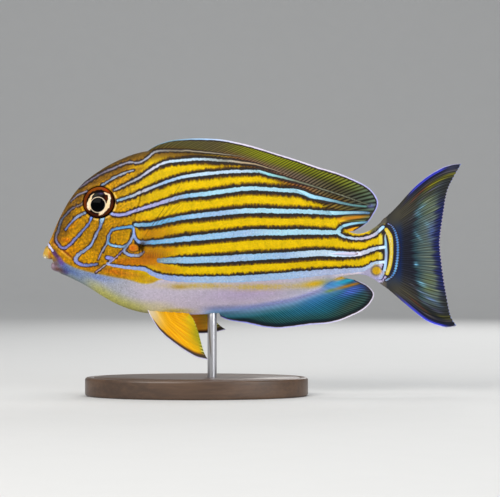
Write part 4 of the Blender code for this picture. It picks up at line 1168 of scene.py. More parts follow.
# Eyes: a domed ball in its socket, painted ring by ring
eyeSet = {
    "rings": 84,
    "sides": 144,
    "pupilAt": (-0.26, -1.29),  # as it shows from the side, from the eye's centre, back and up
    "leaned": (0.40, 0.46),
    "pupil": 3.15,
    # angle in degrees from the tail's side, and the pale ring's inner and outer edge there
    "rearPatch": [(-88, 5, 5.9), (-80, 3.9, 5.8), (-65, 3, 5.35), (-50, 3, 5.2), (-30, 3, 5.15), (-10, 3.4, 5),
        (5, 3.9, 5.1), (20, 4.3, 5.5), (35, 4.7, 5.6), (50, 4.4, 5.2), (62, 4.5, 4.8)],
    "frontPatch": [(120, 3.9, 4.1), (135, 3.8, 4.3), (153, 3.5, 4.4), (178, 3.2, 4.65), (200, 3, 5.35),
        (214, 3.4, 5.7), (224, 4.6, 5.4)],
    "cream": (242, 208, 162), "iris": (54, 20, 6), "irisTop": (126, 62, 12), "deep": (16, 9, 8),
    "ring": (226, 206, 176), "black": (3, 3, 5),
}


irisMarksAndGlint = [
    ((74, 26, 6), (3.3, 1.5), (0.8, 1.5), 10, 0.9),
    # a painted glint of reflected light above the pupil
    ((84, 76, 120), (0.95, 3.6), (1.3, 0.45), 0, 0.75),
    ((44, 58, 44), (-1.5, 3), (1, 0.6), 20, 0.6),
]


def eyeColour(x, y, noise):
    s = eyeSet
    # the ball leans up and forward, so its marks are painted where they show from the side
    dome = np.sqrt(np.clip(1 - (x**2 + y**2) / eyePlace["radius"] ** 2, 0, 1))
    x, y = x - s["leaned"][0] * dome, y + s["leaned"][1] * dome
    r, turn = np.hypot(x, y), np.degrees(np.arctan2(y, x))
    px, py = x - s["pupilAt"][0], y - s["pupilAt"][1]
    rp, pupilTurn = np.hypot(px, py), np.degrees(np.arctan2(py, px))
    ragged = 0.09 * np.sin(np.radians(turn) * 7 + 1) + 0.08 * np.sin(np.radians(turn) * 17) + 0.05 * np.sin(
        np.radians(turn) * 41)

    def arc(low, high, soft):
        middle, half = (low + high) / 2, (high - low) / 2
        away = np.abs((turn - middle + 180) % 360 - 180)
        return step(half + soft, half - soft, away)

    def patch(rows, start):
        # a pale patch of the ring between two edges, each read off at a few angles
        angles, inner, outer = np.array(rows, float).T
        at = (turn - start) % 360 + start
        near, far = np.interp(at, angles, inner), np.interp(at, angles, outer)
        inside = step(angles[0] - 3, angles[0] + 3, at) * step(angles[-1] + 4, angles[-1] - 3, at)
        return step(near - 0.16, near + 0.14, r + ragged) * step(far + 0.18, far - 0.14, r + ragged) * inside

    c = plain(s["deep"], r)
    c = lay(c, s["iris"], step(4.9, 5.7, r + ragged) * step(6.9, 6.2, r))
    c = lay(c, s["irisTop"], arc(44, 150, 18) * step(5.0, 5.6, r + ragged) * step(6.9, 6.3, r) * 0.95)
    c = lay(c, (146, 46, 12), spot(x, y, (2.8, 5.4), (1.5, 0.6), -30) * 0.8)
    c = lay(c, (112, 50, 14), arc(150, 214, 14) * step(5.0, 5.6, r) * 0.8 + arc(300, 352, 14) * step(5.3, 5.9, r) * 0.4)
    c = dabs(c, x, y, irisMarksAndGlint)
    pale = np.clip(patch(s["rearPatch"], -180) + patch(s["frontPatch"], 0), 0, 1) * step(3.1, 3.3, rp)
    c = lay(c, s["cream"], pale)
    bright = spot(x, y, (4.6, 1.8), (0.6, 2.0), 15) + spot(x, y, (-4.6, -1.6), (0.5, 1.8))
    bright = bright + spot(x, y, (1.8, -4.4), (1.0, 0.9), 20)
    c = lay(c, (254, 236, 214), np.clip(bright, 0, 1) * pale * 0.8)
    c = lay(c, (150, 96, 52), pale * step(0.45, 0.95, np.sin(np.radians(turn) * 23 + 2 * r)) * step(4.2, 5.2, r) * 0.3)
    c = lay(c, s["ring"], band(rp, 3.1, 3.2, 3.38, 3.56) * 0.95)
    c = lay(c, s["black"], step(s["pupil"] + 0.05, s["pupil"] - 0.05, rp))
    c = lay(c, s["black"], step(6.55, 6.75, r))
    streaks = np.sin(np.radians(pupilTurn) * 61 + 3 * np.sin(rp * 4)) * step(3.4, 4.4, rp) * step(6.6, 6.2, r)
    return np.clip(c * (1 + 0.14 * streaks)[:, None] * (1 + noise[:, None]), 0, 255)


def buildEye(side, name):
    s, e = eyeSet, eyePlace
    r = np.sin(np.linspace(0, 1, s["rings"]) * math.pi / 2)[1:]
    phi = np.linspace(0, 2 * np.pi, s["sides"], endpoint=False)
    rr, pp = np.meshgrid(r, phi, indexing="ij")
    x, y = rr * np.cos(pp), rr * np.sin(pp)
    dome = np.sqrt(np.clip(1 - rr**2, 0, 1))
    pupilX, pupilY = s["pupilAt"][0] + s["leaned"][0], s["pupilAt"][1] - s["leaned"][1]
    fromPupil = np.hypot(x * e["radius"] - pupilX, y * e["radius"] - pupilY)
    lens = 0.10 * step(s["pupil"] + 0.15, s["pupil"] - 0.5, fromPupil)  # the lens stands out a little
    trough = -0.10 * bell(fromPupil, 3.9, 0.8)
    rim = 0.05 * bell(rr * e["radius"], 6.3, 0.3)
    outward = dome * e["depth"] + lens + trough + rim
    front = np.stack([x * e["radius"], outward, y * e["radius"]], -1).reshape(-1, 3)
    rear = 0.92 * e["radius"]
    rearRing = np.stack([rear * np.cos(phi), np.full(len(phi), -0.9), rear * np.sin(phi)], -1)
    points = np.vstack([front, rearRing, [0, e["depth"] + 0.10, 0], [0, -1.2, 0]])
    rows = len(r) + 1
    faces = [gridFaces(rows, s["sides"], closeColumns=True), *capFaces(s["sides"], rows, len(points) - 2)]
    noise = np.random.default_rng(3).normal(0, 0.03, len(points))
    colour = eyeColour(points[:, 0], points[:, 2], noise)
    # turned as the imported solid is: a little up and a little forward
    out = float(skinOut(np.array(e["at"][0]), np.array(e["at"][1]))) - e["sunk"]
    turned = Matrix.Rotation(math.radians(side * e["tiltForward"]), 3, "Z") @ Matrix.Rotation(
        math.radians(side * e["tiltUp"]), 3, "X")
    points = points * np.array([1, side, 1])
    points = points @ np.array(turned).T
    points = world(points[:, 0] + e["at"][0], points[:, 1] + side * out, points[:, 2] + e["at"][1])
    piece = meshPiece(name, points, faces, eyeMaterial, {"ground": linear(colour)})
    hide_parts("eye_left" if side < 0 else "eye_right")


eyeMaterial = paintedMaterial("eyeGlass", 0.5, 0.05, 0.03, speckle=0.05, coatRoughness=0.04, specular=0.0)
buildEye(-1, "leftEye")
buildEye(1, "rightEye")
print("eyes set")


def buildBlade(side, name):
    s = bladeSet
    theta = np.linspace(0, np.pi, 60)[1:-1]
    phi = np.linspace(0, 2 * np.pi, 32, endpoint=False)
    t, p = np.meshgrid(theta, phi, indexing="ij")
    along = -np.cos(t)
    slim = 0.62 + 0.38 * along
    keel = 1 + 0.10 * np.cos(2 * p)
    x = along * s["radii"][0]
    y = np.sin(t) * np.cos(p) * s["radii"][1] * slim * keel
    z = np.sin(t) * np.sin(p) * s["radii"][2] * slim
    points = np.stack([x, y, z], -1).reshape(-1, 3)
    points = np.vstack([points, [-s["radii"][0], 0, 0], [s["radii"][0], 0, 0]])
    rows, sides = x.shape
    faces = [gridFaces(rows, sides, closeColumns=True), *capFaces(sides, rows, len(points) - 2)]
    shine = step(-2, -6, points[:, 0])
    colour = lay(plain(s["bone"], points), s["tip"], shine)
    colour = lay(colour, (120, 84, 90), step(4.2, 6.0, points[:, 0]) * 0.6)
    turn = math.radians(side * -s["turn"])
    px = points[:, 0] * math.cos(turn) - points[:, 1] * math.sin(turn)
    py = points[:, 0] * math.sin(turn) + points[:, 1] * math.cos(turn)
    out = float(skinOut(np.array(s["at"][0]), np.array(s["at"][1]))) - 0.3
    points = world(px + s["at"][0], py + side * out, points[:, 2] + s["at"][1])
    piece = meshPiece(name, points, faces, bladeMaterial, {"ground": linear(colour)})
    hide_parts("tail_spine_left" if side < 0 else "tail_spine_right")


bladeMaterial = paintedMaterial("bladeBone", 0.28, 0.4, 0.08)
buildBlade(-1, "leftBlade")
buildBlade(1, "rightBlade")
print("blades set")

# Fins: each is one closed sheet. A point is at a share of the way from its first ray to its last, and out
# from root to margin. A ray splits in two and in four on its way out, and a spine doesn't.
finSet = {  # for each fin that names no value of its own
    "membrane": 0.30, "thin": 0.09, "thinFrom": 0.6,  # its thickness in mm, at the margin, and where it gets thinner
    "splits": (0.40, 0.70),  # where a ray splits in two, and in four
    "taper": 0.86,  # how much of a ray's height is gone at the margin
    "foot": 0.35, "footPower": 1,  # how far out the thick foot reaches
}


def rayPattern(plan, share, out):
    # 1 along each ray and each of its branches, and 0 between them
    p = {**finSet, **plan}
    place = share * (p["spines"] + p["rays"] - 1)
    nearest = np.round(place)
    d = place - nearest
    soft = nearest >= p["spines"]
    first, second = p["splits"]
    one = step(first, 1.0, out) * 0.24 * soft
    two = step(second, 1.05, out) * 0.13 * soft
    wide = np.where(soft, 0.17 - 0.09 * step(first, 0.95, out), 0.15 - 0.09 * out)
    ray = np.zeros_like(d)
    for a in (-1, 1):
        for b in (-1, 1):
            ray = np.maximum(ray, bell(d - a * one, b * two, wide))
    return ray


def sheetAndRidge(plan, s, t):
    p = {**finSet, **plan}
    sheet = p["membrane"] + (p["thin"] - p["membrane"]) * step(p["thinFrom"], 1.0, t)
    return sheet, rayPattern(plan, s, t) * (p["crest"] - p["membrane"]) * (1 - p["taper"] * t)


def finThickness(plan, s, t):
    p = {**finSet, **plan}
    sheet, ridge = sheetAndRidge(plan, s, t)
    return sheet + ridge + (p["base"] - p["crest"]) * np.clip(1 - t / p["foot"], 0, 1) ** p["footPower"]


def fineLines(share, out, count):
    # thin streaks along the rays, from 0 to 1
    first = np.sin(2 * np.pi * share * count + 1.3 * np.sin(3.1 * out + 9 * share))
    second = np.sin(2 * np.pi * share * count * 1.63 + 0.9 + 1.1 * np.sin(2.3 * out + 5 * share))
    return 0.5 + 0.25 * (first + second)


def hatching(share, out, count):
    return 0.5 + 0.5 * np.sin(2 * np.pi * share * count + 0.8 * np.sin(3.0 * out + 7.0 * share))


def finPiece(name, plan, share, out, place, thickness, paint, node, material, more=(), flat=True):
    s, t = np.meshgrid(share, out, indexing="ij")
    back, side, up = place(s, t)
    middle = np.stack([back, side, up], -1)
    if flat:
        normal = np.zeros_like(middle)
        normal[..., 1] = 1.0
    else:
        normal = np.cross(np.gradient(middle, axis=0), np.gradient(middle, axis=1))
        normal /= np.linalg.norm(normal, axis=-1, keepdims=True) + 1e-9
    half = thickness(plan, s, t)[..., None] / 2
    sheets = np.concatenate([(middle + normal * half).reshape(-1, 3), (middle - normal * half).reshape(-1, 3)])
    rows, columns = s.shape
    count = rows * columns
    faces = [gridFaces(rows, columns), gridFaces(rows, columns, count)[:, ::-1]]
    grid = np.arange(count).reshape(rows, columns)
    loop = np.concatenate([grid[:-1, 0], grid[-1, :-1], grid[:0:-1, -1], grid[0, :0:-1]])
    after = np.roll(loop, -1)
    faces.append(np.stack([after, loop, loop + count, after + count], 1))
    b, u = back.ravel(), up.ravel()
    gap, edge, tint = markings(b, u, more)
    base, gap, edge, tint, extras = paint(b, u, s.ravel(), t.ravel(), gap, edge, tint)
    fields = {"lineGap": gap, "lineEdge": edge, "lineTint": tint, "ground": linear(np.clip(base, 0, 255)), **extras}
    fields = {key: np.concatenate([values, values]) for key, values in fields.items()}
    piece = meshPiece(name, world(*sheets.T), faces, material, fields)
    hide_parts(node)


def marginStripe(points, wide, tints, edge):
    return alongCurve(points)(np.linspace(0, 1, 60)), wide, tints, edge


def outwardSpread(count, crowd):
    t = np.linspace(0, 1, count)
    return 1 - (1 - t) ** crowd


def distanceTo(points, back, up, reach, samples=60):
    away = np.full(back.shape, float(reach))

    def visit(where, found, _share, _side):
        away[where] = np.minimum(away[where], found)

    nearPath(alongCurve(points)(np.linspace(0, 1, samples)), back, up, reach, visit)
    return away


dorsalSet = {
    "spines": 9, "rays": 28, "columns": 640, "rows": 44,
    "root": [(44.6, 44.2), (55.5, 45.1), (67.5, 43.4), (80.4, 40.2), (93.3, 35.7), (106.2, 29.5), (119.1, 21.9),
        (124.3, 17.6), (127.7, 13.8), (130.2, 10.9)],
    "margin": [(43.6, 43.2), (46.2, 45.3), (49.4, 47.1), (52.8, 48.3), (56.3, 49.1), (63.2, 49.7), (70.1, 49.7),
        (76.9, 49.3), (83.8, 48), (90.7, 46.3), (97.6, 44.1), (104.5, 42), (111.4, 39.8), (118.3, 37.4),
        (125.2, 35.4), (132.1, 32.8), (138.9, 29.4), (142.5, 26), (144.2, 22.4), (143.5, 19.4), (142, 16.8),
        (140.1, 14), (137.2, 11.6), (134.2, 10)],
    "sunk": 1.6, "base": 1.9, "crest": 0.56, "rake": 0.16, "pull": 0.04,
}
analSet = {
    "spines": 3, "rays": 26, "columns": 500, "rows": 40,
    "root": [(75.2, -25.4), (82, -24.7), (89, -23.4), (101.9, -20.9), (110.5, -18.7), (118.2, -15.7), (123.5, -12.3),
        (126.4, -10.7)],
    "margin": [(76.4, -27), (80.4, -28.5), (87.3, -29.7), (94.2, -31.3), (101.1, -32), (108, -31.4), (114.8, -30.5),
        (121.7, -30), (127, -28.9), (132.1, -26.9), (136.5, -24.8), (139.9, -22.2), (142, -19), (142.3, -16.8),
        (140.9, -14.8), (138.6, -13), (134.5, -11.2)],
    "sunk": 1.6, "base": 1.9, "crest": 0.52, "rake": 0.05, "pull": 0.0,
}


dorsalDabs = [
    ((176, 128, 36), (335, 206.4), (11, 2.6), 13, 0.9),
    ((112, 88, 36), (350, 209.2), (9, 2), 6, 0.8),
]


def paintDorsal(back, up, share, out, gap, edge, tint):
    x, y = toPhoto(back, up)
    deep = distanceTo(dorsalSet["margin"], back, up, 20.0, 50)  # mm in from the margin
    height = up - topLine(back)
    c = plain((92, 78, 58), x)
    c = lay(c, (118, 76, 46), step(6.0, 1.5, height) * step(205, 240, x))
    c = lay(c, (94, 88, 46), step(240, 190, x) * 0.9)
    c = lay(c, (104, 100, 38), step(7.0, 3.0, deep) * step(205, 240, x) * 0.8)
    outer = step(6.6, 2.6, deep) * band(x, 215, 275, 345, 372)
    c = lay(c, (118, 122, 16), outer * 0.9)
    c = lay(c, (140, 146, 16), spot(x, y, (292, 159), (36, 4.6), 21) * 0.6)
    c = c * (1 - 0.26 * step(262, 318, x))[:, None]
    c = lay(c, (84, 76, 60), spot(x, y, (322, 184), (34, 5), 18) * 0.55)
    c = lay(c, (66, 78, 62), step(350, 376, x) * 0.9)
    c = lay(c, (104, 112, 30), spot(x, y, (354, 179), (13, 5), 32) * 0.6)
    under = ground(back, np.minimum(up, topLine(back)))
    c = lay(c, under, step(2.6, -0.4, height) * step(380, 350, x) * 0.85)
    # the yellow bands run out onto the fin behind, brown by now
    c = lay(c, (166, 98, 26), spot(x, y, (304, 189), (16, 3.6), 16) * 0.8 + spot(x, y, (336, 200), (16, 3.2), 13) * 0.6)
    c = dabs(c, x, y, dorsalDabs)
    ray = rayPattern(dorsalSet, share, out)
    pink = step(225, 258, x) * step(0.8, 2.6, height) * step(3.4, 6.0, deep)
    fine = hatching(share, out, 74)
    uneven = 0.78 + 0.22 * np.sin(2 * np.pi * 13 * share + 2.0 * np.sin(4 * out))
    strong = (0.44 + 0.56 * step(262, 326, x)) * uneven
    c = c * (1 - 0.30 * step(296, 326, x) * step(2.0, 4.5, deep))[:, None]
    c = c * (0.80 + 0.10 * ray + strong * (fine - 0.5))[:, None]
    c = lay(c, (146, 122, 112), fine * pink * step(340, 312, x) * 0.45)
    c = lay(c, (160, 166, 30), fine * step(6.0, 3.0, deep) * band(x, 220, 260, 340, 366) * 0.35)
    c = lay(c, (122, 126, 66), fine * band(x, 300, 326, 344, 356) * 0.30)
    c = lay(c, (96, 132, 122), fine * step(336, 362, x) * 0.40)
    c = lay(c, (104, 108, 190), spot(x, y, (371, 206), (4, 2.4)) * 0.6)
    c = lay(c, (236, 190, 26), np.clip(1.5 * spot(x, y, (339, 219.8), (8, 3.0), -4), 0, 1))
    c = lay(c, (188, 126, 32), np.clip(1.3 * spot(x, y, (353, 217.6), (14, 1.7), -6), 0, 1))
    inFork = spot(x, y, (352, 229.4), (12, 2.6), -12)
    c = lay(c, (40, 26, 16), step(0.12, 0.4, inFork) * 0.8)
    c = lay(c, (226, 160, 26), step(0.4, 0.8, inFork))
    # pale lines lose their dark edges on the fin
    faded = step(1.5, 5.0, height) * (deep > 1.3)
    edge = edge * (1 - 0.6 * faded)
    gap = gap + faded * 0.12
    return c, gap, edge, tint, {}


analDabs = [
    ((44, 116, 190), (318, 296), (26, 10), -24, 0.9),
    ((20, 88, 124), (338, 301), (22, 7), -24, 0.6),
    ((76, 100, 214), (352, 290.5), (16, 4.4), -16, 0.95),
    ((36, 62, 108), (362, 288), (11, 1.2), -14, 0.7),
]
analStreaks = [
    ((70, 130, 226), (357, 281.6), (5, 1.4), -15, 0.8),
    ((190, 124, 22), (349, 285.6), (16, 1.5), -15, 0.95),
    ((116, 150, 70), (330, 290.6), (5, 1.6), -15, 0.8),
    ((58, 54, 74), (369, 289), (5, 9), 0, 0.7),
    ((60, 60, 44), (352, 305), (20, 6), -30, 0.6),
]


def paintAnal(back, up, share, out, gap, edge, tint):
    x, y = toPhoto(back, up)
    deep = distanceTo(analSet["margin"], back, up, 20.0, 50)
    c = plain((18, 84, 96), x)
    c = lay(c, (46, 96, 92), step(255, 232, x) * 0.7)
    c = c * (1 - 0.35 * step(322, 350, x))[:, None]
    c = lay(c, (24, 60, 56), step(6.0, 2.8, deep) * 0.85)
    c = lay(c, (12, 26, 34), step(2.7, 1.5, deep) * 0.9)
    c = dabs(c, x, y, analDabs)
    above = step(6.5, 2.0, y - tealLine(x)) * step(352, 336, x)
    c = lay(c, ground(back, up), above)
    c = rearStreaks(c, x, y)
    c = dabs(c, x, y, analStreaks)
    ray = rayPattern(analSet, share, out)
    fine = hatching(share, out, 64)
    below = step(0.0, 5.0, y - tealLine(x))
    c = c * (0.86 + 0.06 * ray + 0.44 * (fine - 0.5) * below)[:, None]
    c = lay(c, (90, 148, 158), fine * 0.16 * below * step(1.4, 3.0, deep))
    gap = np.where((deep > 1.3) & (y > 279), noLine, gap)
    return c, gap, edge, tint, {}


def buildUnpairedFin(name, plan, inward, paint, node, margin):
    rootCurve, marginCurve = alongCurve(plan["root"]), alongCurve(plan["margin"])

    def place(s, t):
        foot = rootCurve(s) + np.array([0, inward * plan["sunk"]])
        # the rays lie low in front and stand steeper behind
        ahead = s + plan["rake"] * (1 - np.exp(-s / 0.09)) * (1 - s) ** 3
        ahead = ahead - plan["pull"] * np.sin(np.pi * np.clip((s - 0.35) / 0.65, 0, 1))
        ray = marginCurve(ahead) - foot
        length = np.linalg.norm(ray, axis=-1, keepdims=True)
        across = np.stack([-ray[..., 1], ray[..., 0]], -1) / np.maximum(length, 1e-6)
        bow = 0.025 * np.sin(np.pi * t)[..., None] * length * -inward
        spots = foot + ray * t[..., None] + across * bow
        return spots[..., 0], np.zeros_like(s), spots[..., 1]

    share, out = np.linspace(0, 1, plan["columns"]), outwardSpread(plan["rows"], 1.35)
    finPiece(name, plan, share, out, place, finThickness, paint, node, finMaterial, [margin])


finMaterial = markedMaterial("finSkin", 0.46, 0.08, 0.0, 0.25, speckle=0.06)
buildUnpairedFin(
    "dorsalFin", dorsalSet, -1, paintDorsal, "dorsal_fin",
    marginStripe(dorsalSet["margin"], [0.0, 2.4, 2.8, 2.8, 2.8, 2.6, 2.4, 1.0],
                 "steel steel haze frost frost frost frost lilac lavender grey", [0.2, 1.0, 1.0, 1.0, 0.8]),
)
buildUnpairedFin(
    "analFin", analSet, 1, paintAnal, "anal_fin",
    marginStripe(analSet["margin"], [0.6, 2.2, 2.4, 2.4, 2.2, 1.0], "ink peri lilac lilac frost frost grey", [1.0]),
)
print("dorsal and anal fins spread")

tailSet = {
    "spines": 0, "rays": 18, "splits": (0.18, 0.5), "columns": 420, "rows": 84,
    "rootBack": 145.2, "rootTop": 13.5, "rootBottom": -12.4,
    "upper": [(144.9, 14), (149.3, 18.1), (152.7, 21.5), (156.2, 25.4), (159.6, 28.9), (163.1, 31.9), (166.5, 34.4),
        (170, 36.4), (173.4, 37.9), (176.9, 38.7), (180, 38.9)],
    "lower": [(144.9, -12.6), (149.3, -16.2), (156.2, -22.1), (163.1, -27.7), (166.5, -29.7), (170, -31),
        (173.4, -31.6), (176.9, -31.2), (177.9, -30.8)],
    "rear": [(180, 38.9), (176.2, 32.2), (173.8, 26.5), (172.3, 17.6), (171.1, 8.3), (170.9, 3), (172, -7.3),
        (173.6, -17.8), (175.4, -26.6), (177.9, -30.8)],
    "rootHalfWidth": 1.5, "rootFade": 5.0, "crest": 0.74, "taper": 0.84,
}


tailDabs = [
    ((16, 20, 32), (433, 314), (14, 2.6), 38, 0.75),
    ((64, 66, 90), (452, 168), (9, 4), -25, 0.6),
]
tailGlints = [((416, 264), (2.2, 1.7), 1.0), ((422, 206.5), (5, 1.6), 0.5), ((422, 284), (5, 1.8), 0.9),
              ((418, 236), (1.6, 6), 0.5), ((427, 224), (2.4, 4.0), 0.4), ((418, 214), (3, 4), 0.4)]


def paintTail(back, up, share, out, gap, edge, tint):
    t = tailSet
    x, y = toPhoto(back, up)
    upper, lower = distanceTo(t["upper"], back, up, 9.0), distanceTo(t["lower"], back, up, 9.0)
    rear = distanceTo(t["rear"], back, up, 14.0)
    level = np.abs(up) / 30
    c = plain((22, 24, 36), x)
    c = lay(c, (12, 36, 92), step(405, 399, x) * step(16, 11, np.abs(up)) * 0.75)
    ray = rayPattern(t, share, out)
    thin, other, broad = fineLines(share, out, 50), fineLines(share + 0.31, out, 33), fineLines(share + 0.77, out, 13)
    near = step(398, 404, x)
    # brown-olive at the root of each lobe
    lobes = np.clip(spot(x, y, (402, 211), (30, 12), -45) + spot(x, y, (405, 296), (31, 12), 42), 0, 1)
    c = lay(c, (68, 65, 54), lobes * (0.95 - 0.35 * near * (1 - broad)))
    c = lay(c, (46, 42, 22), lobes * other * near * 0.6)
    # the pale crescent before the rear margin, ragged as the rays are
    ragged = rear + 1.7 * (broad - 0.5) + 1.0 * (other - 0.5)
    inside = step(2.5, 6.0, upper) * step(2.5, 6.0, lower)
    crescent = band(ragged, 0.4, 4.4, 8.2, 13) * inside
    crescent = crescent * (0.35 + 0.65 * step(190, 207, y)) * (0.25 + 0.75 * step(311, 297, y))
    c = lay(c, (64, 84, 82), crescent * 0.9)
    c = lay(c, (24, 84, 96), crescent * step(9.0, 11.4, ragged) * 0.7)
    c = lay(c, (116, 116, 90), crescent * other * step(9.5, 5.5, ragged) * 0.55)
    green = np.clip(spot(x, y, (428, 200), (8, 14), 15) + spot(x, y, (428, 284), (7, 10)), 0, 1)
    c = lay(c, (110, 118, 44), crescent * broad * green * 0.7)
    c = lay(c, (52, 72, 144), crescent * spot(x, y, (433, 232), (5, 10)) * 0.75)
    margin = step(4.4, 1.0, ragged) * step(1.6, 2.6, upper) * step(1.6, 2.6, lower)
    c = lay(c, (46, 48, 44), margin * 0.7)
    c = lay(c, (24, 30, 84), margin * band(up, -21, -12, 19, 27) * 0.9)
    c = lay(c, (50, 48, 24), spot(x, y, (428, 193), (15, 3.0), -42) * 0.7)
    # streaks along the lobes
    for away, sign, olive in ((upper, 1, (112, 108, 18)), (lower, -1, (66, 64, 22))):
        lobe = step(0.16, 0.45, level) * (np.sign(up) == sign)
        dark = band(away, 0.9, 1.4, 1.7, 2.8)
        c = lay(c, (22, 24, 52), lobe * dark * band(x, 396, 412, 434, 448) * 0.9)
        c = lay(c, (112, 50, 32), lobe * bell(away, 3.6, 0.4) * band(x, 406, 416, 426, 436) * 0.6)
        c = lay(c, (96, 86, 80), lobe * bell(away, 2.6, 0.4) * step(416, 432, x) * 0.55)
        c = lay(c, olive, lobe * bell(away, 4.2, 0.8) * step(418, 432, x) * (0.5 + 0.5 * thin))
        c = lay(c, (90, 86, 128), lobe * bell(away, 6.0, 0.5) * band(x, 412, 424, 438, 446) * other * 0.6)
        c = lay(c, (124, 124, 146), lobe * bell(away, 8.4, 0.4) * band(x, 404, 416, 428, 438) * thin * 0.45)
        blueFrom, blueTo = (404, 416) if sign > 0 else (392, 410)
        blue = step(blueFrom, blueTo, x) * step(452, 440, x) * step(1.5, 0.9, away) * (np.sign(up) == sign)
        c = lay(c, (56, 62, 198), blue * 0.95)
    c = lay(c, (84, 118, 186), spot(x, y, (431, 299), (12, 1.8), 34) * other * 0.9)
    for at, radii, much in tailGlints:
        c = lay(c, (118, 190, 226), spot(x, y, at, radii, -38 if at[1] < 250 else 32) * (0.3 + 0.7 * thin) * much)
    c = c * (1 + near * (0.10 * ray + 0.80 * thin - 0.48))[:, None]
    c = lay(c, (112, 118, 124), thin * near * (step(424, 404, x) * 0.10 + crescent * 0.20))
    c = lay(c, (104, 92, 70), other * step(4, 20, np.abs(up)) * near * step(430, 400, x) * 0.22)
    c = dabs(c, x, y, tailDabs)
    c = lay(c, ground(back, up), step(387.6, 385.2, x))
    # beads on the blue bar and dots along the rear margin
    beads = 0.5 + 0.5 * np.cos(2 * np.pi * share * (t["rays"] - 1) * 2)
    bar = (x > 389) & (x < 402) & (np.abs(up) < 13.5)
    gap = np.where(bar & (tint[:, 2] > 0.35), gap + (1 - beads) * 0.42, gap)
    dots = 0.5 + 0.5 * np.cos(2 * np.pi * share * (t["rays"] - 1) * 3)
    margin = (rear < 1.0) & (upper > 1.2) & (lower > 1.2)
    gap = np.where(margin, gap + (1 - dots) * 0.42, gap)
    return c, gap, edge, tint, {}


def buildTailFin():
    plan = tailSet
    rearCurve, upperCurve, lowerCurve = (alongCurve(plan[key]) for key in ("rear", "upper", "lower"))
    uppers, lowers = np.array(plan["upper"]), np.array(plan["lower"])

    def place(s, t):
        level = plan["rootTop"] + (plan["rootBottom"] - plan["rootTop"]) * s
        root = np.stack([np.full_like(s, plan["rootBack"]), level], -1)
        spots = root + (rearCurve(s) - root) * t[..., None]
        bulgeUp = upperCurve(t) - (uppers[0] + (uppers[-1] - uppers[0]) * t[..., None])
        bulgeDown = lowerCurve(t) - (lowers[0] + (lowers[-1] - lowers[0]) * t[..., None])
        spots = spots + bulgeUp * (np.clip(1 - 3 * s, 0, 1) ** 1.5)[..., None]
        spots = spots + bulgeDown * (np.clip(3 * s - 2, 0, 1) ** 1.5)[..., None]
        sunkIn = 2.0 * step(0.10, 0.0, t)  # the foot reaches under the skin
        back = np.maximum(spots[..., 0], plan["rootBack"]) - sunkIn
        return back, np.zeros_like(s), spots[..., 1] * (1 - 0.24 * step(0.07, 0, t))

    def thickness(plan, s, t):
        sheet, ridge = sheetAndRidge(plan, s, t)
        height = 2 * s - 1
        root = 2 * plan["rootHalfWidth"] * np.sqrt(np.clip(1 - height**2, 0, 1))
        swollen = np.maximum(root - finSet["membrane"], 0.2) * np.exp(-((t * 28.0 / plan["rootFade"]) ** 1.5))
        spineEdge = 0.35 * (bell(s, 0, 0.02) + bell(s, 1, 0.02)) * (1 - 0.8 * t)
        return sheet + np.maximum(swollen, ridge) + spineEdge

    margins = [
        marginStripe(plan["upper"], [0.0, 0.4, 0.8, 1.5, 1.5, 1.0], "grey slate lavender lavender lilac grey", [0]),
        marginStripe(plan["lower"], [0.4, 0.6, 1.0, 1.5, 1.6, 1.0], "slate slate peri lavender lilac grey", [0]),
        marginStripe(plan["rear"], [1.0, 1.8, 2.0, 1.8, 1.2], "slate ash ash ash slate", [0]),
    ]
    s = np.linspace(0, 1, plan["columns"])
    share = s - 0.06 * np.sin(2 * np.pi * s) / (2 * np.pi)
    out = outwardSpread(plan["rows"], 1.12)
    finPiece("tailFin", plan, share, out, place, thickness, paintTail, "caudal_fin", finMaterial, margins)


buildTailFin()
print("tail fin spread")

pectoralSet = {
    "spines": 1, "rays": 13, "splits": (0.45, 0.75), "columns": 210, "rows": 44,
    "rootTop": (41.4, 3.3), "rootBottom": (42.2, -0.8),
    "margin": [(59.3, 29.2), (60.8, 26), (60.9, 21), (59.8, 15.4), (57.6, 9.6), (55, 4.2), (51.8, -1.2), (49, -5.2),
        (46.8, -6.9)],
    "flare": 0.24, "bow": 0.10, "base": 1.3, "crest": 0.62,
    "membrane": 0.20, "thin": 0.07, "thinFrom": 0.5, "foot": 0.3, "footPower": 1.5,
    "membraneAlpha": 0.012, "rayAlpha": 0.26,
}
pelvicSet = {
    "spines": 1, "rays": 5, "splits": (0.30, 0.55), "columns": 150, "rows": 52,
    "rootFront": (44.6, -25.4), "rootRear": (62.6, -25.6),
    "margin": [(71.2, -45.0), (69.6, -42.4), (68.3, -38.4), (66.9, -33.4), (65.2, -28.8), (63.6, -26.6)],
    "edge": [(44.6, -25.4), (46.6, -28.4), (49.4, -31.7), (52.8, -35.1), (56.3, -37.8), (59.7, -40.2), (63.2, -42.3),
        (66.6, -44), (71.2, -45)],
    "rootOut": 2.6, "flare": 0.22, "sunk": 2.4, "base": 1.6, "crest": 0.9,
    "membrane": 0.28, "thinFrom": 0.5, "taper": 0.8,
    "lift": {-1: 0.0, 1: 24.0}, "spread": {-1: 1.0, 1: 0.45}, "reach": {-1: 1.0, 1: 1.05},
}


def clearMaterial():
    made = markedMaterial("clearFin", 0.40, 0.12, 0.0, 0.15, speckle=0.05)
    tree = made.node_tree
    tree.links.new(attribute(tree, "veil"), tree.nodes["Principled BSDF"].inputs["Alpha"])
    return made


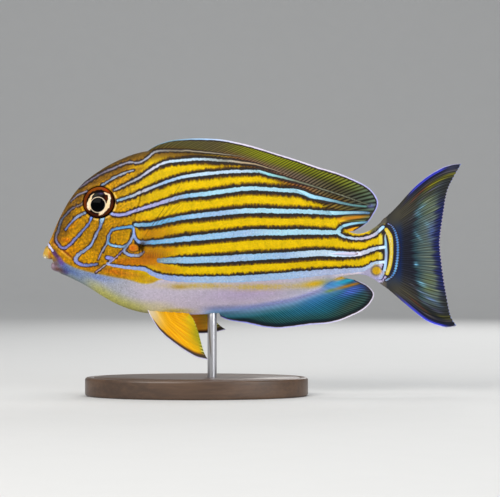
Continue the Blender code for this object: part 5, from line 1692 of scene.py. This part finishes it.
def buildPectoralFin(side, name, node):
    plan = pectoralSet
    top, bottom = np.array(plan["rootTop"]), np.array(plan["rootBottom"])
    marginCurve = alongCurve(plan["margin"])

    def place(s, t):
        root = top + (bottom - top) * s[..., None]
        ray = marginCurve(s) - root
        spots = root + ray * t[..., None]
        length = np.linalg.norm(ray, axis=-1) * t
        flare = skinOut(root[..., 0], root[..., 1]) + plan["flare"] * length - plan["bow"] * length * t
        clear = 0.32 + finThickness(plan, s, t) / 2
        ripple = 0.18 * np.sin(s * 9.0) * t**2
        spread = np.maximum(flare, skinOut(spots[..., 0], spots[..., 1])) + clear + ripple
        spread = spread - 1.3 * step(0.10, 0.0, t)  # its foot goes into the skin
        return spots[..., 0], side * spread, spots[..., 1]

    def paint(back, up, share, out, gap, edge, tint):
        ray = rayPattern(plan, share, out) ** 2
        c = plain((196, 152, 40), back)
        c = lay(c, (52, 34, 20), ray * step(0.60, 0.10, share) * 0.95)
        c = lay(c, (52, 34, 20), bell(share, 0, 0.015) * 0.8)
        strong = plan["rayAlpha"] * (1 - 0.80 * step(0.12, 0.36, share))
        veil = plan["membraneAlpha"] + (strong - plan["membraneAlpha"]) * ray * (1 - 0.45 * out)
        veil = veil + 0.30 * bell(share, 0, 0.015) * (1 - 0.6 * out)
        veil = np.clip(veil * step(0.0, 0.40, out), 0, 1)
        c = lay(c, ground(back, up), step(0.30, 0.05, out))
        return c, np.full(len(back), noLine), np.zeros(len(back)), tint, {"veil": veil}

    share, out = np.linspace(0, 1, plan["columns"]), outwardSpread(plan["rows"], 1.1)
    finPiece(name, plan, share, out, place, finThickness, paint, node, clearFinMaterial, flat=False)


def buildPelvicFin(side, name, node):
    plan = pelvicSet
    front, rear = np.array(plan["rootFront"]), np.array(plan["rootRear"])
    marginCurve, edgeCurve = alongCurve(plan["margin"]), alongCurve(plan["edge"])
    edges = np.array(plan["edge"])
    lift = math.radians(plan["lift"][side])

    def place(s, t):
        root = front + (rear - front) * s[..., None]
        ray = marginCurve(s) - root
        bulge = edgeCurve(t) - (edges[0] + (edges[-1] - edges[0]) * t[..., None])
        spots = root + ray * t[..., None] + bulge * ((1 - s) ** 2 * plan["spread"][side])[..., None]
        away = spots - front
        turned = np.stack([away[..., 0] * math.cos(lift) - away[..., 1] * math.sin(lift),
                           away[..., 0] * math.sin(lift) + away[..., 1] * math.cos(lift)], -1) * plan["reach"][side]
        spots = spots + (front + turned - spots) * t[..., None]
        distance = np.linalg.norm(ray, axis=-1) * t
        up = spots[..., 1] + plan["sunk"] * np.clip(1 - 4 * t, 0, 1)
        out = plan["rootOut"] + plan["flare"] * distance + 0.6 * (1 - s)
        return spots[..., 0], side * out, up

    def paint(back, up, share, out, gap, edge, tint):
        x, y = toPhoto(back, up)
        ray = rayPattern(plan, share, out)
        c = plain((246, 178, 0), back)
        # streaks spread from a point at the front of the root
        turn = np.degrees(np.arctan2(y - 304, x - 147))
        streak = 0.5 + 0.24 * np.sin(1.7 * turn) + 0.26 * np.sin(3.3 * turn + 1)
        fine = 0.5 + 0.5 * np.sin(7.1 * turn + 0.8 * np.sin(1.1 * turn))
        c = lay(c, (236, 132, 0), step(0.42, 0.78, streak) * step(0.95, 0.3, out) * 0.75)
        c = lay(c, (255, 214, 30), step(0.36, 0.14, streak) * step(0.98, 0.6, out) * 0.6)
        c = c * (0.94 + 0.10 * fine * step(0.02, 0.2, out))[:, None]
        # the far fin is orange, olive towards its tip; its orange is painted lighter than its own colour, as painted
        # light against the shade of the belly over it
        if side > 0:
            c = lay(c, (255, 158, 40), 0.85)
            c = lay(c, (190, 170, 60), step(0.60, 1.0, out) * 0.75)
        c = lay(c, (206, 190, 26), step(0.45, 0.95, share) * step(0.1, 0.6, out) * 0.8)
        c = lay(c, (150, 172, 44), step(0.90, 1.0, out) * 0.8)
        # pale and dark ticks where the rays end along the rear edge
        ticks = 0.5 + 0.5 * np.sin(share * 2 * np.pi * 14)
        fringe = step(0.93, 0.97, out) * step(0.08, 0.16, share)
        c = lay(c, (62, 64, 10), fringe * step(0.45, 0.8, ticks) * 0.85)
        c = lay(c, (232, 222, 160), fringe * step(0.55, 0.2, ticks) * 0.85)
        if side < 0:
            c = lay(c, (150, 146, 16), spot(x, y, (199, 335), (8, 13), -20) * 0.9)
        c = lay(c, (226, 212, 188), step(0.40, 0.0, out) * step(0.42, 0.05, share) * 0.95)
        c = c * (0.90 + 0.07 * ray)[:, None]
        c = lay(c, (255, 218, 96), ray * step(0.75, 0.15, out) * step(0.1, 0.3, share) * 0.12)
        lead = share * np.interp(out, [0, 1], [18.0, 7.5])  # mm behind the leading edge
        gap = np.minimum(lead - 0.20, noLine)
        edge = 0.80 * step(0.02, 0.34, out)
        tint = plain(linear((214, 208, 240)), back)
        return c, gap, edge, tint, {}

    s = np.linspace(0, 1, plan["columns"])
    out = outwardSpread(plan["rows"], 1.2)
    finPiece(name, plan, s**1.35, out, place, finThickness, paint, node, finMaterial, flat=False)


clearFinMaterial = clearMaterial()
buildPectoralFin(-1, "leftPectoralFin", "pectoral_fin_left")
buildPectoralFin(1, "rightPectoralFin", "pectoral_fin_right")
buildPelvicFin(-1, "leftPelvicFin", "pelvic_fin_left")
buildPelvicFin(1, "rightPelvicFin", "pelvic_fin_right")
print("paired fins spread")

# The stand: an oiled walnut oval and a brushed steel rod
standSet = {
    "centre": 66.0, "length": 96.0, "width": 56.0, "height": 8.0, "edge": 1.2,
    "rodAt": 72.7, "rodRadius": 2.0, "rodLow": 3.4, "rodHigh": 43.0,
    "wood": (0.052, 0.026, 0.013), "woodLight": (0.115, 0.060, 0.030), "steel": (0.56, 0.56, 0.58),
}


def woodMaterial():
    s = standSet
    inputs = {"Roughness": 0.42, "Coat Weight": 0.25, "Coat Roughness": 0.25}
    made, tree, shader = newMaterial("oiledWalnut", inputs)
    here = objectSpace(tree)
    bands = noiseNode(tree, here, 60.0, 4.0, 0.6, (0.18, 1.6, 1.6))
    grain = noiseNode(tree, here, 900.0, 3.0, 0.6, (0.05, 1.0, 1.0))
    tone = mathNode(tree, "ADD", mathNode(tree, "MULTIPLY", bands, 0.75), mathNode(tree, "MULTIPLY", grain, 0.35))
    colour = mixNode(tree, rampNode(tree, tone, 0.35, 0.75), s["wood"], s["woodLight"])
    finishShader(tree, shader, colour, grain, 0.25, 0.0002)
    return made


def steelMaterial():
    made, tree, shader = newMaterial("brushedSteel", {"Metallic": 1.0})
    lines = noiseNode(tree, objectSpace(tree), 1500.0, 2.0, 0.5, (1.0, 1.0, 0.03))
    colour = mixNode(tree, lines, tuple(0.85 * c for c in standSet["steel"]), standSet["steel"])
    tree.links.new(colour, shader.inputs["Base Color"])
    rough = newNode(tree, "ShaderNodeMapRange", {"Value": lines, "To Min": 0.22, "To Max": 0.38})
    tree.links.new(rough.outputs["Result"], shader.inputs["Roughness"])
    return made


def turnedPiece(name, profile, sides, centre, stretch, material):
    # profile is (radius share, height) from the axis at the bottom to the axis at the top
    phi = np.linspace(0, 2 * np.pi, sides, endpoint=False)
    rings = np.array(profile[1:-1])
    x = rings[:, :1] * stretch[0] * np.cos(phi) + centre
    y = rings[:, :1] * stretch[1] * np.sin(phi)
    z = np.repeat(rings[:, 1:], sides, axis=1)
    points = np.stack([(x - fishSet["length"] / 2) * mm, y * mm, z * mm], -1).reshape(-1, 3)
    ends = [[(centre - fishSet["length"] / 2) * mm, 0, profile[k][1] * mm] for k in (0, -1)]
    points = np.vstack([points, ends])
    faces = [gridFaces(len(rings), sides, closeColumns=True), *capFaces(sides, len(rings), len(points) - 2)]
    return meshPiece(name, points, faces, material)


def buildStand():
    s = standSet
    half = s["length"] / 2
    e = s["edge"]
    corner = [(1 - (e - e * math.cos(a)) / half, e - e * math.sin(a)) for a in np.linspace(math.pi / 2, 0, 6)]
    height = s["height"]
    upper = [(1 - (e - e * math.cos(a)) / half, height - e + e * math.sin(a)) for a in np.linspace(0, math.pi / 2, 8)]
    line = [(0.94, height), (0.935, height - 0.35), (0.925, height - 0.35), (0.92, height)]
    profile = [(0, 0.0), (0.3, 0.0), *corner, (1.0, 3.0), (1.0, 5.0), *upper, *line, (0.5, height)]
    profile += [(0.2, height), (0, height)]
    base = turnedPiece("walnutBase", profile, 180, s["centre"], (half, s["width"] / 2), woodMaterial())
    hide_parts("stand_base")
    r, low, high = s["rodRadius"], s["rodLow"], s["rodHigh"]
    side = [(r, level) for level in (low, 7.9, 8.2, 20.0, 30.0, high - 0.2)]
    profile = [(0, low), *side, (r - 0.2, high), (0, high)]
    rod = turnedPiece("steelRod", profile, 64, s["rodAt"], (1.0, 1.0), steelMaterial())
    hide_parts("stand_rod")


buildStand()
print("stand built")
